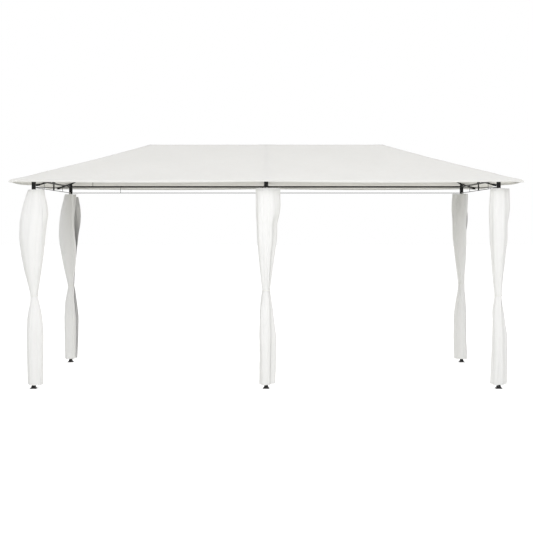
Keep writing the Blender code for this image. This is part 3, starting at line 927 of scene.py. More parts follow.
def half_reaches(post_name, side, z):
    """The reaches left and right of one half. The far half stands out on the right."""
    left, right = reaches_at(post_name, z)[:2]
    if side == "near":
        return left, right - by_height(LEAVES[post_name], OUTLINES[post_name][0], z)
    return left - NEAR_TUCK, right


# %% Outlines in plan
ANGLES = np.radians(np.arange(-180.0, 541.0))
SQUARENESS = 2.4
NOTCH_DEPTH = 0.42
NOTCH_WIDTH = 0.42
NOTCH_HEIGHTS = (1.95, 2.36)
OVERLAP_LIFT = 0.0022
# Where the far half leaves the near one that it lies over, in degrees from its start, or from
# +X on the front middle post, whose far half stands out furthest.
SWING = (-4, 34)
MIDDLE_SWING = (-10, 32)


def oval(angle, right, left, away, towards):
    """The distance from the post to an oval with its own reach on each of four sides, a little
    squarer than an ellipse, as the folds stand side by side across the view."""
    c, s = np.cos(angle), np.sin(angle)
    wide = np.where(c > 0, right, left)
    deep = np.where(s > 0, away, towards)
    return (np.abs(c / wide) ** SQUARENESS + np.abs(s / deep) ** SQUARENESS) ** (-1 / SQUARENESS)


def oval_outline(post_name, side, z):
    """One half's own outline at a height: an oval, drawn in at a corner post's header."""
    left, right = half_reaches(post_name, side, z)
    outward, inward = reaches_at(post_name, z)[2:]
    x_sign, y_sign = inward_signs(post_name)
    away, towards = (inward, outward) if y_sign > 0 else (outward, inward)
    radius = oval(ANGLES, right, left, away, towards)
    if is_corner(post_name):
        diagonal = math.atan2(y_sign, x_sign)
        off = np.abs((ANGLES - diagonal + math.pi) % math.tau - math.pi)
        radius *= 1 - NOTCH_DEPTH * soft_step(z, *NOTCH_HEIGHTS) * np.exp(-(off / NOTCH_WIDTH) ** 2)
    return radius


def outline_radius(post_name, side, z):
    """How far the cloth reaches from the post's middle at a height, for every angle. Where the
    far half lies over the near one, it starts against it and swings out from there."""
    radius = oval_outline(post_name, side, z)
    if lies_over(post_name, side):
        degrees = np.degrees(ANGLES)
        near = oval_outline(post_name, "near", z)
        swing = [FAR_STARTS[post_name] + turn for turn in SWING]
        swing = MIDDLE_SWING if post_name == "front_middle" else swing
        radius = near + (radius - near) * soft_step(degrees, *swing)
        lift = OVERLAP_LIFT * (1 - 0.75 * math.exp(-abs(z - OUTLINES[post_name][0]) / 0.06))
        radius = radius + lift * (1 - soft_step(degrees, 20, 50))
    return radius


# %% [markdown]
# ## What the folds must not touch
# Inside the outline stand the square post and, just under the header, the rods. The folds may
# turn in as far as these, less a few millimetres.

# %% The space behind the outline
POST_CLEARANCE = 0.0045
ROD_CLEARANCE = 0.0068
BESIDE_RODS = (2.29, 2.36)


def hard_core(post_name, angle, radius, z):
    """How near to the post's middle cloth may come, by angle, at one height."""
    c, s = np.abs(np.cos(angle)), np.abs(np.sin(angle))
    core = POST_HALF / np.maximum(c, s) + POST_CLEARANCE
    x_sign, y_sign = inward_signs(post_name)
    rod = np.minimum(ROD_CLEARANCE / np.maximum(s, 1e-3), radius)
    if is_corner(post_name):
        rod = np.where(np.cos(angle) * x_sign > 0, rod, 0.0)
        other = np.minimum(ROD_CLEARANCE / np.maximum(c, 1e-3), radius)
        rod = np.maximum(rod, np.where(np.sin(angle) * y_sign > 0, other, 0.0))
    return np.maximum(core, rod * soft_step(z, *BESIDE_RODS))


def curtain_heights(tie):
    """Heights of the grid's rows: close together at the tie and under the header."""
    rows = [CURTAIN_BOTTOM]
    while rows[-1] < CURTAIN_TOP - 0.003:
        from_tie = max(0.0, abs(rows[-1] - tie) - 0.03)
        step = 0.008 + 0.019 * min(1.0, from_tie / 0.25)
        rows.append(rows[-1] + min(step, 0.006 + 0.10 * (CURTAIN_TOP - rows[-1])))
    rows[-1] = CURTAIN_TOP
    return np.array(rows)


# %% [markdown]
# ## The folds
# Gathered cloth this light does not wave like a corrugated sheet. It stands in a few broad, soft
# lobes, and the rest of its width is folded under at the lines between them, some to the left
# and some to the right. A fold is therefore drawn in plan as the cloth really runs: forward to
# the fold's edge, round it, back underneath, round again and forward. Each fold drifts and
# opens or closes slowly on the way down, so no two lobes match.

# %% One fold in plan
HALF_TURN = np.radians(np.linspace(-90, 90, 5))
UNDER_COLUMNS = 3
RUN_COLUMNS = 9


def fold_section(edge, overlap, gap, forward):
    """Where the cloth runs at a fold: distances along the outline and in from it."""
    bend = gap / 2
    along = np.concatenate([
        (np.cos(HALF_TURN) - 1) * bend,
        np.linspace(-bend, bend - overlap, UNDER_COLUMNS + 2)[1:-1],
        (1 - np.cos(HALF_TURN)) * bend - overlap,
        [-overlap / 2, bend],
    ])
    inward = np.concatenate([
        bend * (1 + np.sin(HALF_TURN)),
        np.full(UNDER_COLUMNS, gap),
        gap + bend * (1 + np.sin(HALF_TURN)),
        [2 * gap, 2 * gap],
    ])
    if not forward:
        along, inward = -along[::-1], inward[::-1]
    return edge + along, inward


def cloth_run(length, folds):
    """All the folds of a row, joined by runs of cloth that ease from one depth to the next."""
    along, inward = [np.array([0.0])], [np.array([0.0])]
    for fold in folds:
        section, depth = fold_section(*fold)
        ease = np.linspace(0, 1, RUN_COLUMNS + 2)[1:-1]
        along += [along[-1][-1] + (section[0] - along[-1][-1]) * ease, section]
        inward += [inward[-1][-1] + (depth[0] - inward[-1][-1]) * soft_step(ease, 0, 1), depth]
    ease = np.linspace(0, 1, RUN_COLUMNS + 1)[1:]
    along.append(along[-1][-1] + (length - along[-1][-1]) * ease)
    inward.append(inward[-1][-1] * (1 - soft_step(ease, 0, 1)))
    return np.concatenate(along), np.concatenate(inward)


# %% How the folds of one half change on the way down
# Where the folds lie, as shares of the cloth's width, and how much of it stays free of them:
# more where the far half starts over the near one.
FOLD_PLACES = {"near": (0.23, 0.40, 0.62, 0.83), "far": (0.26, 0.44, 0.63, 0.84)}
FOLD_DRIFT = 0.035
PLACE_WANDER = 0.02
GRIP_REACH = 0.06
FREE_FROM = 0.13
OVER_FREE_FROM = 0.40
# In millimetres at the sixteen heights: how far a fold lies under itself, how open it is, and
# how deep the hollows between the lobes are.
OVERLAPS = (56, 64, 76, 82, 84, 80, 68, 50, 34, 26, 34, 48, 60, 66, 68, 68)
GAPS = (1.9, 2.0, 2.2, 2.3, 2.4, 2.3, 2.1, 1.8, 1.5, 1.2, 1.5, 1.8, 2.1, 2.3, 2.4, 2.4)
LOBES = (1, 2, 2, 3, 3, 3, 3, 3, 3, 2, 3, 4, 4, 4, 4, 4)
# How strong each fold is at the header, the bulge, above the tie, below it and at the hem.
LIFE_HEIGHTS = (2.38, 1.85, 1.35, 0.80, 0.05)
FOLD_LIVES = (
    (0.7, 0.5, 0.9, 1.0, 0.8), (1.0, 0.08, 0.5, 0.9, 0.7),
    (0.15, 0.7, 0.9, 0.4, 0.6), (0.8, 1.0, 1.0, 0.9, 0.9),
)
LIFE_WANDER = 0.12
FAINTEST = 0.06
# The back corners' near halves hang calmer, and the far half's leaf hides the last fold of the
# front middle near half.
CALMER = {("back_left", "near"): 0.55, ("back_right", "near"): 0.55}
HIDDEN_FROM = {("front_middle", "near"): 0.775}
NOTHING_HIDDEN = 2.0


def slow_wave(draw, z, length):
    """A smooth number from about -1 to 1 that changes with height."""
    first, second = draw.uniform(0, math.tau), draw.uniform(0, math.tau)
    rate = math.tau / length
    return 0.6 * np.sin(z * rate + first) + 0.4 * np.sin(z * rate * 2.3 + second)


class Folds:
    """The folds of one half curtain at every row of its grid."""

    def __init__(self, post_name, side, heights):
        draw = random.Random(f"{post_name} {side}")
        self.half = (post_name, side)
        self.tie = tie = OUTLINES[post_name][0]
        self.free_from = OVER_FREE_FROM if lies_over(post_name, side) else FREE_FROM
        self.hidden_from = HIDDEN_FROM.get(self.half, NOTHING_HIDDEN)
        squeeze = (1 - self.free_from) / (1 - FREE_FROM)
        places = [1 - (1 - place) * squeeze for place in FOLD_PLACES[side]]
        grip = np.exp(-((heights - tie) / GRIP_REACH) ** 2)
        self.forward = [draw.random() < 0.5 for _ in places]
        self.places = []
        for place in places:
            place += draw.uniform(-FOLD_DRIFT, FOLD_DRIFT)
            self.places.append(place + PLACE_WANDER * slow_wave(draw, heights, 1.0) * (1 - 0.6 * grip))
        self.strengths = []
        for fold, place in enumerate(places):
            lives = FOLD_LIVES[(fold + 2 * (side == "far")) % len(places)]
            life = np.interp(heights, LIFE_HEIGHTS[::-1], lives[::-1])
            life = life + LIFE_WANDER * slow_wave(draw, heights, 0.9)
            life = np.clip(life, FAINTEST, 1.0) * CALMER.get(self.half, 1.0)
            if place > self.hidden_from:
                life = FAINTEST
            self.strengths.append(life * (1 - grip) + grip)
        self.turns = [draw.uniform(0, math.tau) for _ in range(5)]

    def row(self, index, z, length, room):
        """Distances along and inward for every column of one row, and the lobes between them."""
        edges = np.array([place[index] for place in self.places]) * length
        strength = np.array([strength[index] for strength in self.strengths])
        spaces = np.diff(np.concatenate([[0.0], edges, [length]]))
        behind = np.where(self.forward, spaces[:-1], spaces[1:])
        gap = np.minimum(by_height(GAPS, self.tie, z) * strength ** 0.8, 0.18 * room)
        overlap = np.minimum(by_height(OVERLAPS, self.tie, z) * strength, 0.72 * behind)
        overlap = np.maximum(overlap, 2.2 * gap)
        along, inward = cloth_run(length, zip(edges, overlap, gap, self.forward))
        lobe_edges = np.concatenate([[-0.12 * length], edges, [length * 1.06]])
        lobe = np.clip(np.searchsorted(lobe_edges, along) - 1, 0, len(lobe_edges) - 2)
        within = (along - lobe_edges[lobe]) / (lobe_edges[lobe + 1] - lobe_edges[lobe])
        hollow = 1 - np.sin(math.pi * np.clip(within, 0, 1)) ** 0.8
        return along, inward, hollow * by_height(LOBES, self.tie, z)


# %% [markdown]
# ## Gathering one half
# For each height the outline is walked, the folds are laid along it, and the fine creases that
# the tie and the gathered header put into the cloth are added. The row is then stretched a
# little sideways, so its widest points meet the reach that was measured.

# %% One row of a half curtain
# How deep the broad waves are, in millimetres at the sixteen heights.
WAVES = (3, 6, 9, 10, 10, 10, 9, 7, 4, 1, 4, 7, 9, 9, 9, 9)
WAVE_COUNT = {"near": 2.6, "far": 2.2}
TIE_REACH = 0.12
DRAG = 0.0011
DRAG_LINES = 9
GATHERS = 0.0016
GATHER_PITCH = 0.021
GATHER_REACH = 0.035
RIPPLE = 0.0012
HIDING_EASE = 0.13
FULLEST = 0.93
# One valley in the front middle curtain, which leans to the right on its way down to the tie:
# its places as shares of the width at two heights, half its width, and its depth by height.
VALLEY_HEIGHTS = (1.43, 1.90)
VALLEY_PLACES = (0.635, 0.55)
VALLEY_WIDTH = 0.036
VALLEY_DEPTHS = (2, 3, 5, 8, 12, 16, 18, 15, 9, 4, 2, 1, 1, 1, 1, 1)


def walk_outline(radius, span):
    """The part of an outline between two angles: its length, and a reader of places on it."""
    path_x, path_y = radius * np.cos(ANGLES), radius * np.sin(ANGLES)
    length = np.concatenate([[0.0], np.cumsum(np.hypot(np.diff(path_x), np.diff(path_y)))])
    first, last = np.interp(span, ANGLES, length)

    def place(along):
        return [np.interp(first + along, length, path) for path in (path_x, path_y)]

    def read(along):
        (ahead_x, ahead_y), (behind_x, behind_y) = place(along + 0.004), place(along - 0.004)
        run_x, run_y = ahead_x - behind_x, ahead_y - behind_y
        size = np.maximum(np.hypot(run_x, run_y), 1e-6)
        return *place(along), run_x / size, run_y / size

    return last - first, read


def curtain_row(folds, index, z, below_header):
    """One row of the grid, as places round the post's middle."""
    post_name, side = folds.half
    tie, turns = folds.tie, folds.turns
    twist = 6 * max(0.0, (tie - z) / tie) * math.sin(turns[0])
    radius = outline_radius(post_name, side, z)
    span = NEAR_SPAN if side == "near" else (FAR_STARTS[post_name], FAR_END)
    length, read = walk_outline(radius, np.radians(np.array(span) + twist))
    narrowest = float(np.min(radius)) - POST_HALF - POST_CLEARANCE
    along, inward, hollow = folds.row(index, z, length, max(narrowest, 0.006))
    x, y, run_x, run_y = read(along)
    distance = np.hypot(x, y)
    room = np.maximum(distance - hard_core(post_name, np.arctan2(y, x), distance, z), 0.0)
    share = along / length
    loose = soft_step(share, folds.free_from - 0.04, folds.free_from + 0.06)
    loose *= 1 - soft_step(share, folds.hidden_from - HIDING_EASE, folds.hidden_from)
    near_tie = math.exp(-abs(z - tie) / TIE_REACH)
    drag = DRAG * near_tie * (1 + np.cos(math.tau * DRAG_LINES * share + turns[1]))
    header = GATHERS * math.exp(-below_header / GATHER_REACH)
    gathers = header * (1 + np.cos(math.tau * along / GATHER_PITCH + turns[2]))
    sway = 1.5 * math.sin(1.9 * z + turns[3])
    wave = 0.5 - 0.5 * np.cos(math.tau * WAVE_COUNT[side] * share + sway + turns[4])
    ripple = RIPPLE * (1 - near_tie) * (1 + np.sin(4.7 * z + math.tau * 1.4 * share + turns[3]))
    deeper = inward + (hollow + wave * by_height(WAVES, tie, z) + gathers + ripple) * loose + drag
    if folds.half == ("front_middle", "near"):
        off_valley = (share - np.interp(z, VALLEY_HEIGHTS, VALLEY_PLACES)) / VALLEY_WIDTH
        deeper += by_height(VALLEY_DEPTHS, tie, z) * np.exp(-off_valley ** 2)
    deeper = np.minimum(deeper, FULLEST * room)
    return x - run_y * deeper, y + run_x * deeper


# %% One half curtain
HEADER_EASE = 0.35
HEM_SWAY = 0.003
HEM_REACH = 0.05
SCALLOP_PITCH = 0.036
SCALLOP_DEPTH = 0.0035
SCALLOP_REACH = 0.03


def half_curtain(name, post_name, side):
    """Gathers one flat sheet round half of its post, and finds the line of its header."""
    post = POSTS[post_name]
    heights = curtain_heights(OUTLINES[post_name][0])
    folds = Folds(post_name, side, heights)
    drop = HEADER_DROPS[post_name][side == "far"]
    hung = heights - drop * soft_step(heights, CURTAIN_TOP - HEADER_EASE, CURTAIN_TOP)
    rows = []
    for index, z in enumerate(hung):
        x, y = curtain_row(folds, index, z, hung[-1] - z)
        left, right = half_reaches(post_name, side, z)
        widen = right / max(x.max(), 0.01) - 1
        if lies_over(post_name, side):
            widen = widen * soft_step(x, x[0], x.max())
        x = np.where(x > 0, x * (1 + widen), x * left / max(-x.min(), 0.01))
        rows.append(np.stack([x + post.x, y + post.y, np.full_like(x, z)], axis=1))
    surface = np.array(rows)
    columns = surface.shape[1] - 1
    sway = HEM_SWAY * np.exp(-(heights - CURTAIN_BOTTOM) / HEM_REACH)
    surface[:, :, 2] += sway[:, None] * (1 + np.sin(np.linspace(0, 14, columns + 1)))[None, :]
    across = np.linalg.norm(np.diff(surface, axis=1), axis=2).mean(axis=0)
    flat_x = np.concatenate([[0.0], np.cumsum(across)])
    flat_x *= FLAT_WIDTH / flat_x[-1]
    scallops = 0.5 - 0.5 * np.cos(math.tau * flat_x / SCALLOP_PITCH)
    scallops += 0.6 * np.sin(flat_x * 23 + folds.turns[1])
    near_header = SCALLOP_DEPTH * np.exp(-(hung[-1] - hung) / SCALLOP_REACH)
    surface[:, :, 2] -= near_header[:, None] * scallops[None, :]
    down = (heights - CURTAIN_BOTTOM) / (CURTAIN_TOP - CURTAIN_BOTTOM) * FLAT_LENGTH

    def shape(u, v):
        column = np.rint(u * columns).astype(int)
        row = np.rint(v * (len(heights) - 1)).astype(int)
        to_side = np.minimum(flat_x, FLAT_WIDTH - flat_x)
        return surface[row, column], {
            CLOTH_MAP: np.stack([flat_x[column], down[row]], axis=1),
            HEM_MAP: np.stack([to_side[column], down[row]], axis=1),
        }

    return cloth_grid(name, columns, len(heights) - 1, shape), surface[-1, :, :2]


# %% Hang all twelve
CURTAIN_THICKNESS = 0.0007
SIDES = ("near", "far")
header_lines = {}
for post_name in OUTLINES:
    for side in SIDES:
        name = f"curtain_{post_name}_{side}"
        piece, header_lines[name] = half_curtain(name, post_name, side)
        thicken(piece, CURTAIN_THICKNESS)
        smooth(piece, 60)
        hand_over(piece, curtain_cloth, replaces=(f"curtain_{post_name}",))

# %% [markdown]
# ## The ties
# A strap of the same cloth holds each curtain against its post. It is wound round the waist,
# knotted on the side away from the photographer, and its two ends hang down. The strap is one
# more grid, long and narrow, and its knot is a second, short grid wound round the first.

# %% A strap round the waist, its knot and its two ends
STRAP_WIDTH = 0.018
STRAP_THICKNESS = 0.0009
STRAP_CLEARANCE = 0.0017
KNOT_RADIUS = 0.0085
KNOT_LENGTH = 0.020
BAND_CLOTH = 0.30
KNOT_CLOTH = 0.05
# The two ends: the side that each leans to, and its length.
TAILS = {-1: 0.085, 1: 0.070}
AWAY = math.pi / 2


def waist_radius(post_name, angle):
    """The outside of the gathered cloth at the tie, in a direction from the post."""
    left, right, depth, _ = reaches_at(post_name, OUTLINES[post_name][0])
    return oval(angle, right, left, depth, depth)


def make_tie(post_name):
    post, tie = POSTS[post_name], OUTLINES[post_name][0]
    draw = random.Random(f"strap {post_name}")
    phases = [draw.uniform(0, math.tau) for _ in range(4)]
    knot_reach = float(waist_radius(post_name, np.array(AWAY))) + KNOT_RADIUS * 0.7
    middle = Vector((post.x, post.y + knot_reach, tie))

    def band(u, v):
        angle = AWAY + u * math.tau
        ripple = 0.0005 * np.sin(9 * angle + phases[0]) * np.sin(math.pi * v)
        squeeze = 1 - 0.45 * np.exp(-((np.abs(u - 0.5) - 0.5) / 0.05) ** 2)
        radius = waist_radius(post_name, angle) + STRAP_CLEARANCE + 0.0006 * np.sin(math.pi * v) + ripple
        across = (v - 0.5) * STRAP_WIDTH
        z = tie + across * 0.8 * squeeze + 0.0012 * np.sin(2 * angle + phases[1])
        x, y = post.x + radius * np.cos(angle), post.y + radius * np.sin(angle)
        return laid(x, y, z, u * BAND_CLOTH, across)

    def knot(u, v):
        angle = u * math.tau
        swell = 0.55 + 0.45 * np.sin(math.pi * v) ** 0.6
        radius = KNOT_RADIUS * swell * (1 + 0.07 * np.sin(3 * angle + 5 * v + phases[2]))
        x = middle.x + (v - 0.5) * KNOT_LENGTH * (1 - 0.2 * np.cos(angle))
        y = middle.y + radius * np.cos(angle)
        z = middle.z + radius * np.sin(angle) * 1.15
        return laid(x, y, z, u * KNOT_CLOTH, (v - 0.5) * STRAP_WIDTH)

    def tail(direction, length):
        def shape(u, v):
            twist = direction * (0.5 + 1.1 * u) + 0.25 * np.sin(5 * u + phases[3])
            width = STRAP_WIDTH * (0.45 + 0.55 * np.clip(u * 5, 0, 1)) * (v - 0.5)
            x = middle.x + direction * (0.007 + 0.014 * np.sin(2.2 * u)) + width * np.cos(twist)
            y = middle.y + 0.004 + 0.010 * u + 0.004 * np.sin(4 * u) + width * np.sin(twist) * 0.6
            return laid(x, y, middle.z - u * length - 0.002, u * length, (v - 0.5) * STRAP_WIDTH)

        return shape

    pieces = [cloth_grid("band", 72, 6, band), cloth_grid("knot", 24, 12, knot)]
    pieces += [cloth_grid("tail", 16, 4, tail(way, length)) for way, length in TAILS.items()]
    return join(pieces, f"strap_{post_name}")


for post_name in OUTLINES:
    strap = make_tie(post_name)
    thicken(strap, STRAP_THICKNESS)
    smooth(strap, 50)
    hand_over(strap, strap_cloth, replaces=(f"tie_{post_name}",))

# %% [markdown]
# ## Turned and six-sided hardware
# Bolts, washers, screws and plugs all have a round or six-sided outline that changes with
# height. So one helper turns them as on a lathe: it starts from a circle, and each step
# extrudes the circle and resizes it about its middle. What repeats is modelled once at the
# origin, pointing up, and then copied to its places, each copy with its own mesh.

# %% A lathe made of extrude and resize


def turned(sides, profile):
    """A closed shape from (radius, height) steps, standing on the origin."""
    select()
    radius, height = profile[0]
    bpy.ops.mesh.primitive_circle_add(vertices=sides, radius=radius, location=(0, 0, height))
    model = bpy.context.object
    edit_all(model)
    for (old, low), (new, high) in zip(profile, profile[1:]):
        bpy.ops.mesh.extrude_region_move(TRANSFORM_OT_translate={"value": (0, 0, high - low)})
        bpy.ops.transform.resize(value=(new / old, new / old, 1), center_override=(0, 0, high))
    bpy.ops.mesh.select_all(action="SELECT")
    bpy.ops.mesh.fill_holes(sides=0)
    face_outwards(model)
    return settle(model, "turned_model")


def place_copies(model, places, name, finish):
    """Stands a copy of a model at every (place, direction of its top), joined into one piece."""
    copies = []
    for place, axis in places:
        turn = UP.rotation_difference(Vector(axis).normalized()).to_matrix().to_4x4()
        copies.append(copy_to(model, Matrix.Translation(Vector(place)) @ turn))
    bpy.data.objects.remove(model)
    piece = join(copies, name)
    smooth(piece, 35)
    hand_over(piece, finish)


# %% [markdown]
# ## Bolts through the rafter saddles
# Over every post, and over the middle of each short side, the rafter lies between two cheeks.
# A bolt goes through both: a six-sided head and a washer on one side, a washer, a nut and the
# thread's end on the other.

# %% Saddle bolts
CHEEK_OUTSIDE = 0.0144
BOLT_Z = 2.5075
THREAD_TURNS = 4
THREAD_PITCH = 0.0008
WASHER = ((0.0052, 0.0), (0.0055, 0.0002), (0.0055, 0.0009), (0.0052, 0.0011))
BOLT_HEAD = ((0.0045, 0.0011), (0.0045, 0.0041), (0.0041, 0.0046))
NUT = ((0.0042, 0.0011), (0.0045, 0.0015), (0.0045, 0.0048), (0.0042, 0.0052))

saddles = []
for name, post in POSTS.items():
    across_x = math.copysign(1, post.x) if is_corner(name) else 0
    heading = Vector((across_x, math.copysign(1, post.y) if is_corner(name) else 1, 0)).normalized()
    saddles.append((Vector((post.x, post.y, BOLT_Z)), heading))
for side in (-1, 1):
    saddles.append((Vector((side * abs(POSTS["front_left"].x), 0, BOLT_Z)), Vector((1, 0, 0))))

head_places, nut_places = [], []
for middle, heading in saddles:
    across = Vector((-heading.y, heading.x, 0))
    head_places.append((middle + across * CHEEK_OUTSIDE, across))
    nut_places.append((middle - across * CHEEK_OUTSIDE, -across))

thread = [(0.0025, 0.0052)]
for turn in range(THREAD_TURNS):
    thread += [(0.0021, 0.0055 + THREAD_PITCH * turn), (0.0025, 0.0059 + THREAD_PITCH * turn)]
thread += [(0.0018, 0.0088)]
place_copies(turned(20, WASHER), head_places + nut_places, "saddle_washers", zinc)
place_copies(turned(6, BOLT_HEAD), head_places, "saddle_bolt_heads", zinc)
place_copies(turned(6, NUT), nut_places, "saddle_nuts", zinc)
place_copies(turned(12, thread), nut_places, "saddle_thread_ends", zinc)

# %% [markdown]
# ## Screws in the rails' end plates
# Each rail frame is fixed to its posts through a flat plate at each end. Two pan-head screws go
# through each plate, between the rail and the thin rod. Their recess is a dimple turned into
# the head.

# %% Rail screws
PLATE_FACE = POST_HALF + 0.0003 + 0.003
SCREW_HEIGHTS = (2.410, 2.448)
SCREW = (
    (0.0040, 0.0), (0.0041, 0.0008), (0.0036, 0.0017), (0.0026, 0.0023), (0.0015, 0.0024),
    (0.0012, 0.0014), (0.0006, 0.0010),
)


def rails_from(post_name):
    """The directions of the rails that meet a post."""
    x_sign, y_sign = inward_signs(post_name)
    if x_sign:
        return [Vector((x_sign, 0, 0)), Vector((0, y_sign, 0))]
    return [Vector((-1, 0, 0)), Vector((1, 0, 0))]


def on_plates(heights):
    """Places on every end plate, at these heights, that face along the rail."""
    ways = [(post, way) for name, post in POSTS.items() for way in rails_from(name)]
    return [(post + way * PLATE_FACE + UP * height, way) for post, way in ways for height in heights]


place_copies(turned(16, SCREW), on_plates(SCREW_HEIGHTS), "rail_screws", steel)

# %% [markdown]
# ## Plugs on the rafters' ends
# A plastic plug closes the end of each rafter, so the steel doesn't wear through the hem. The
# end is found in the rafter's own mesh: its outermost ring, and the next ring along, which
# gives the direction.

# %% Rafter plugs
TIP_RING = 0.02
NEXT_RINGS = (0.034, 0.075)
PLUG = (
    (0.01435, -0.0120), (0.0148, -0.0114), (0.0148, -0.0004), (0.0142, 0.0008), (0.0110, 0.0015),
    (0.004, 0.0018),
)


def tube_end(node_name, heading):
    """The middle of a rafter's end and the way that it points."""
    points = np.array([tuple(v.co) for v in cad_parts[node_name].data.vertices])
    along = points @ np.array(heading)
    back = along.max() - along
    rings = (back < TIP_RING, (back > NEXT_RINGS[0]) & (back < NEXT_RINGS[1]))
    tip, inner = [Vector((points[ring].min(axis=0) + points[ring].max(axis=0)) / 2) for ring in rings]
    return tip, (tip - inner).normalized()


plug_places = []
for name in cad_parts:
    if "rafter" in name:
        low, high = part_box(name)
        middle = (low + high) / 2
        across_x = math.copysign(1, middle.x) if abs(middle.x) > 0.5 else 0.0
        across_y = math.copysign(1, middle.y) if abs(middle.y) > 0.3 else 0.0
        plug_places.append(tube_end(name, Vector((across_x, across_y, 0.0)).normalized()))
place_copies(turned(24, PLUG), plug_places, "rafter_plugs", plastic)

# %% [markdown]
# ## Beads of weld
# The thin uprights are welded between the rail and the rod, and the rails to their end plates.
# A bead is a squat ring, a torus pressed a little flat and painted with the frame.

# %% Weld beads
UPRIGHT_RADIUS = 0.003
MIDDLE_UPRIGHT_RADIUS = 0.009
LEFT_BAY_UPRIGHT_X = -2.06


def bead_model(around, thickness):
    """A ring of weld round a rod of a given radius."""
    select()
    bpy.ops.mesh.primitive_torus_add(
        major_radius=around + thickness * 0.3, minor_radius=thickness, major_segments=18, minor_segments=6
    )
    bead = bpy.context.object
    edit_all(bead)
    bpy.ops.transform.resize(value=(1, 1, 0.8), center_override=(0, 0, 0))
    return settle(bead, "bead_model")


uprights = [Vector((LEFT_BAY_UPRIGHT_X, POSTS[f"{row}_left"].y, 0)) for row in ROWS]
middles = []
for place in ("left", "right"):
    front, back = POSTS[f"front_{place}"], POSTS[f"back_{place}"]
    uprights += [front.lerp(back, share) for share in (0.25, 0.75)]
    middles.append(front.lerp(back, 0.5))
under_rail, on_rod = UP * (RAIL_Z - RAIL_RADIUS), UP * (ROD_Z + ROD_RADIUS)
thin_places = [(upright + end, UP) for upright in uprights for end in (under_rail, on_rod)]
thick_places = [(upright + under_rail, UP) for upright in middles]
for name, around, thickness, places in (
    ("upright_welds", UPRIGHT_RADIUS, 0.0008, thin_places),
    ("middle_upright_welds", MIDDLE_UPRIGHT_RADIUS, 0.0011, thick_places),
    ("rail_welds", RAIL_RADIUS, 0.0012, on_plates([RAIL_Z])),
    ("rod_welds", ROD_RADIUS, 0.0009, on_plates([ROD_Z])),
):
    place_copies(bead_model(around, thickness), places, name, steel)

# %% [markdown]
# ## Screws in the ridge hubs
# The roof tubes are pushed into the hubs' sleeves and held by a small screw under each sleeve,
# where rain doesn't reach it. They show when one stands inside and looks up.

# %% Hub screws
HUB_Z = 2.9707
HUB_SCREW_REACH = 0.058
SLEEVE_RADIUS = 0.013
SCREW_SINK = 0.0003
RAFTER_FALL = 0.365

hub_screws = []
for side in (-1, 0, 1):
    ways = [Vector((-side, 0, 0))] if side else [Vector((-1, 0, 0)), Vector((1, 0, 0))]
    slopes = [(side, -1), (side, 1), (side, 0)] if side else [(0, -1), (0, 1)]
    ways += [Vector((x, y, -RAFTER_FALL)) for x, y in slopes]
    for way in ways:
        way = way.normalized()
        sideways = way.cross(UP).normalized()
        below = sideways.cross(way).normalized()
        below = below if below.z < 0 else -below
        centre = Vector((side * (HALF_LENGTH - HALF_WIDTH), 0, HUB_Z)) + way * HUB_SCREW_REACH
        hub_screws.append((centre + below * (SLEEVE_RADIUS - SCREW_SINK), below))
place_copies(turned(16, SCREW), hub_screws, "hub_screws", zinc)

# %% [markdown]
# ## Curtain loops
# Small loops of white cord, sewn to the header, carry the curtains on the thin rods. Each is a
# ring that the curtain's weight pulls long: a torus whose lower half is drawn down to the header.
# They stand at even steps, each turned a little from its neighbour, as if slid along by hand.

# %% Loops on the rods
LOOP_RADIUS = 0.0060
LOOP_CORD = 0.0010
LOOP_START = 0.036
LOOP_PITCH = 0.018
LOOP_CLEARANCE = 0.0002
LOOP_INTO_HEADER = 0.007
LOOP_PINCH = 0.35
LOOP_LEAN = 0.12
LAST_LOOP = 0.006
NEAR_THE_ROD = 0.047


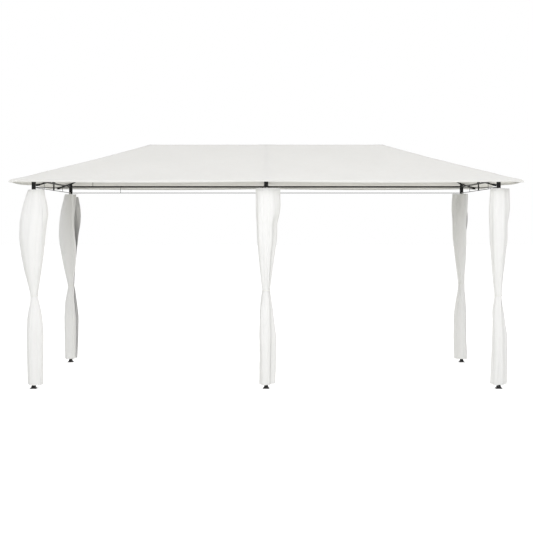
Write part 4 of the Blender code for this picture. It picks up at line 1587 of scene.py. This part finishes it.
def loop_model(length):
    """A ring whose +X half, the one that will hang down, is drawn long and a little narrower."""
    select()
    bpy.ops.mesh.primitive_torus_add(
        major_radius=LOOP_RADIUS, minor_radius=LOOP_CORD, major_segments=28, minor_segments=8
    )
    ring = bpy.context.object
    for corner in ring.data.uv_layers[0].data:
        corner.uv = (corner.uv[0] * math.tau * LOOP_RADIUS, corner.uv[1] * math.tau * LOOP_CORD)
    ring.data.uv_layers[0].name = CLOTH_MAP
    for vertex in ring.data.vertices:
        if vertex.co.x > 0:
            vertex.co.x *= length / LOOP_RADIUS
            vertex.co.y *= 1 - LOOP_PINCH * min(1.0, vertex.co.x / length)
    return settle(ring, "loop_model")


def loop_places(post_name):
    """Places along each rod where the header passes close to it, at even steps."""
    post = POSTS[post_name]
    places = []
    for way in rails_from(post_name):
        runs = []
        for side in SIDES:
            line = header_lines[f"curtain_{post_name}_{side}"] - np.array([post.x, post.y])
            run = line @ np.array([way.x, way.y])
            off = np.abs(line @ np.array([way.y, -way.x]))
            runs += list(run[off < NEAR_THE_ROD])
        reach = max(runs) - LAST_LOOP
        count = max(2, int((reach - LOOP_START) / LOOP_PITCH) + 1)
        for step in range(count):
            run = LOOP_START + (reach - LOOP_START) * step / (count - 1)
            places.append((post + way * run, way, LOOP_LEAN * math.sin(run * 400)))
    return places


loop_middle = ROD_Z + ROD_RADIUS + LOOP_CLEARANCE - LOOP_RADIUS
for post_name in POSTS:
    loop_bottom = CURTAIN_TOP - min(HEADER_DROPS[post_name]) - LOOP_INTO_HEADER
    model = loop_model(loop_middle - loop_bottom)
    copies = []
    for place, way, lean in loop_places(post_name):
        ahead = (way + Vector((-way.y, way.x, 0)) * lean).normalized()
        turn = Matrix((DOWN, ahead.cross(DOWN), ahead)).transposed().to_4x4()
        copies.append(copy_to(model, Matrix.Translation(place + UP * loop_middle) @ turn))
    bpy.data.objects.remove(model)
    loops = join(copies, f"curtain_loops_{post_name}")
    smooth(loops, 60)
    face_outwards(loops)
    hand_over(loops, strap_cloth)

# %% [markdown]
# ## Finish
# The last cell brings the scene up to date.

bpy.context.view_layer.update()
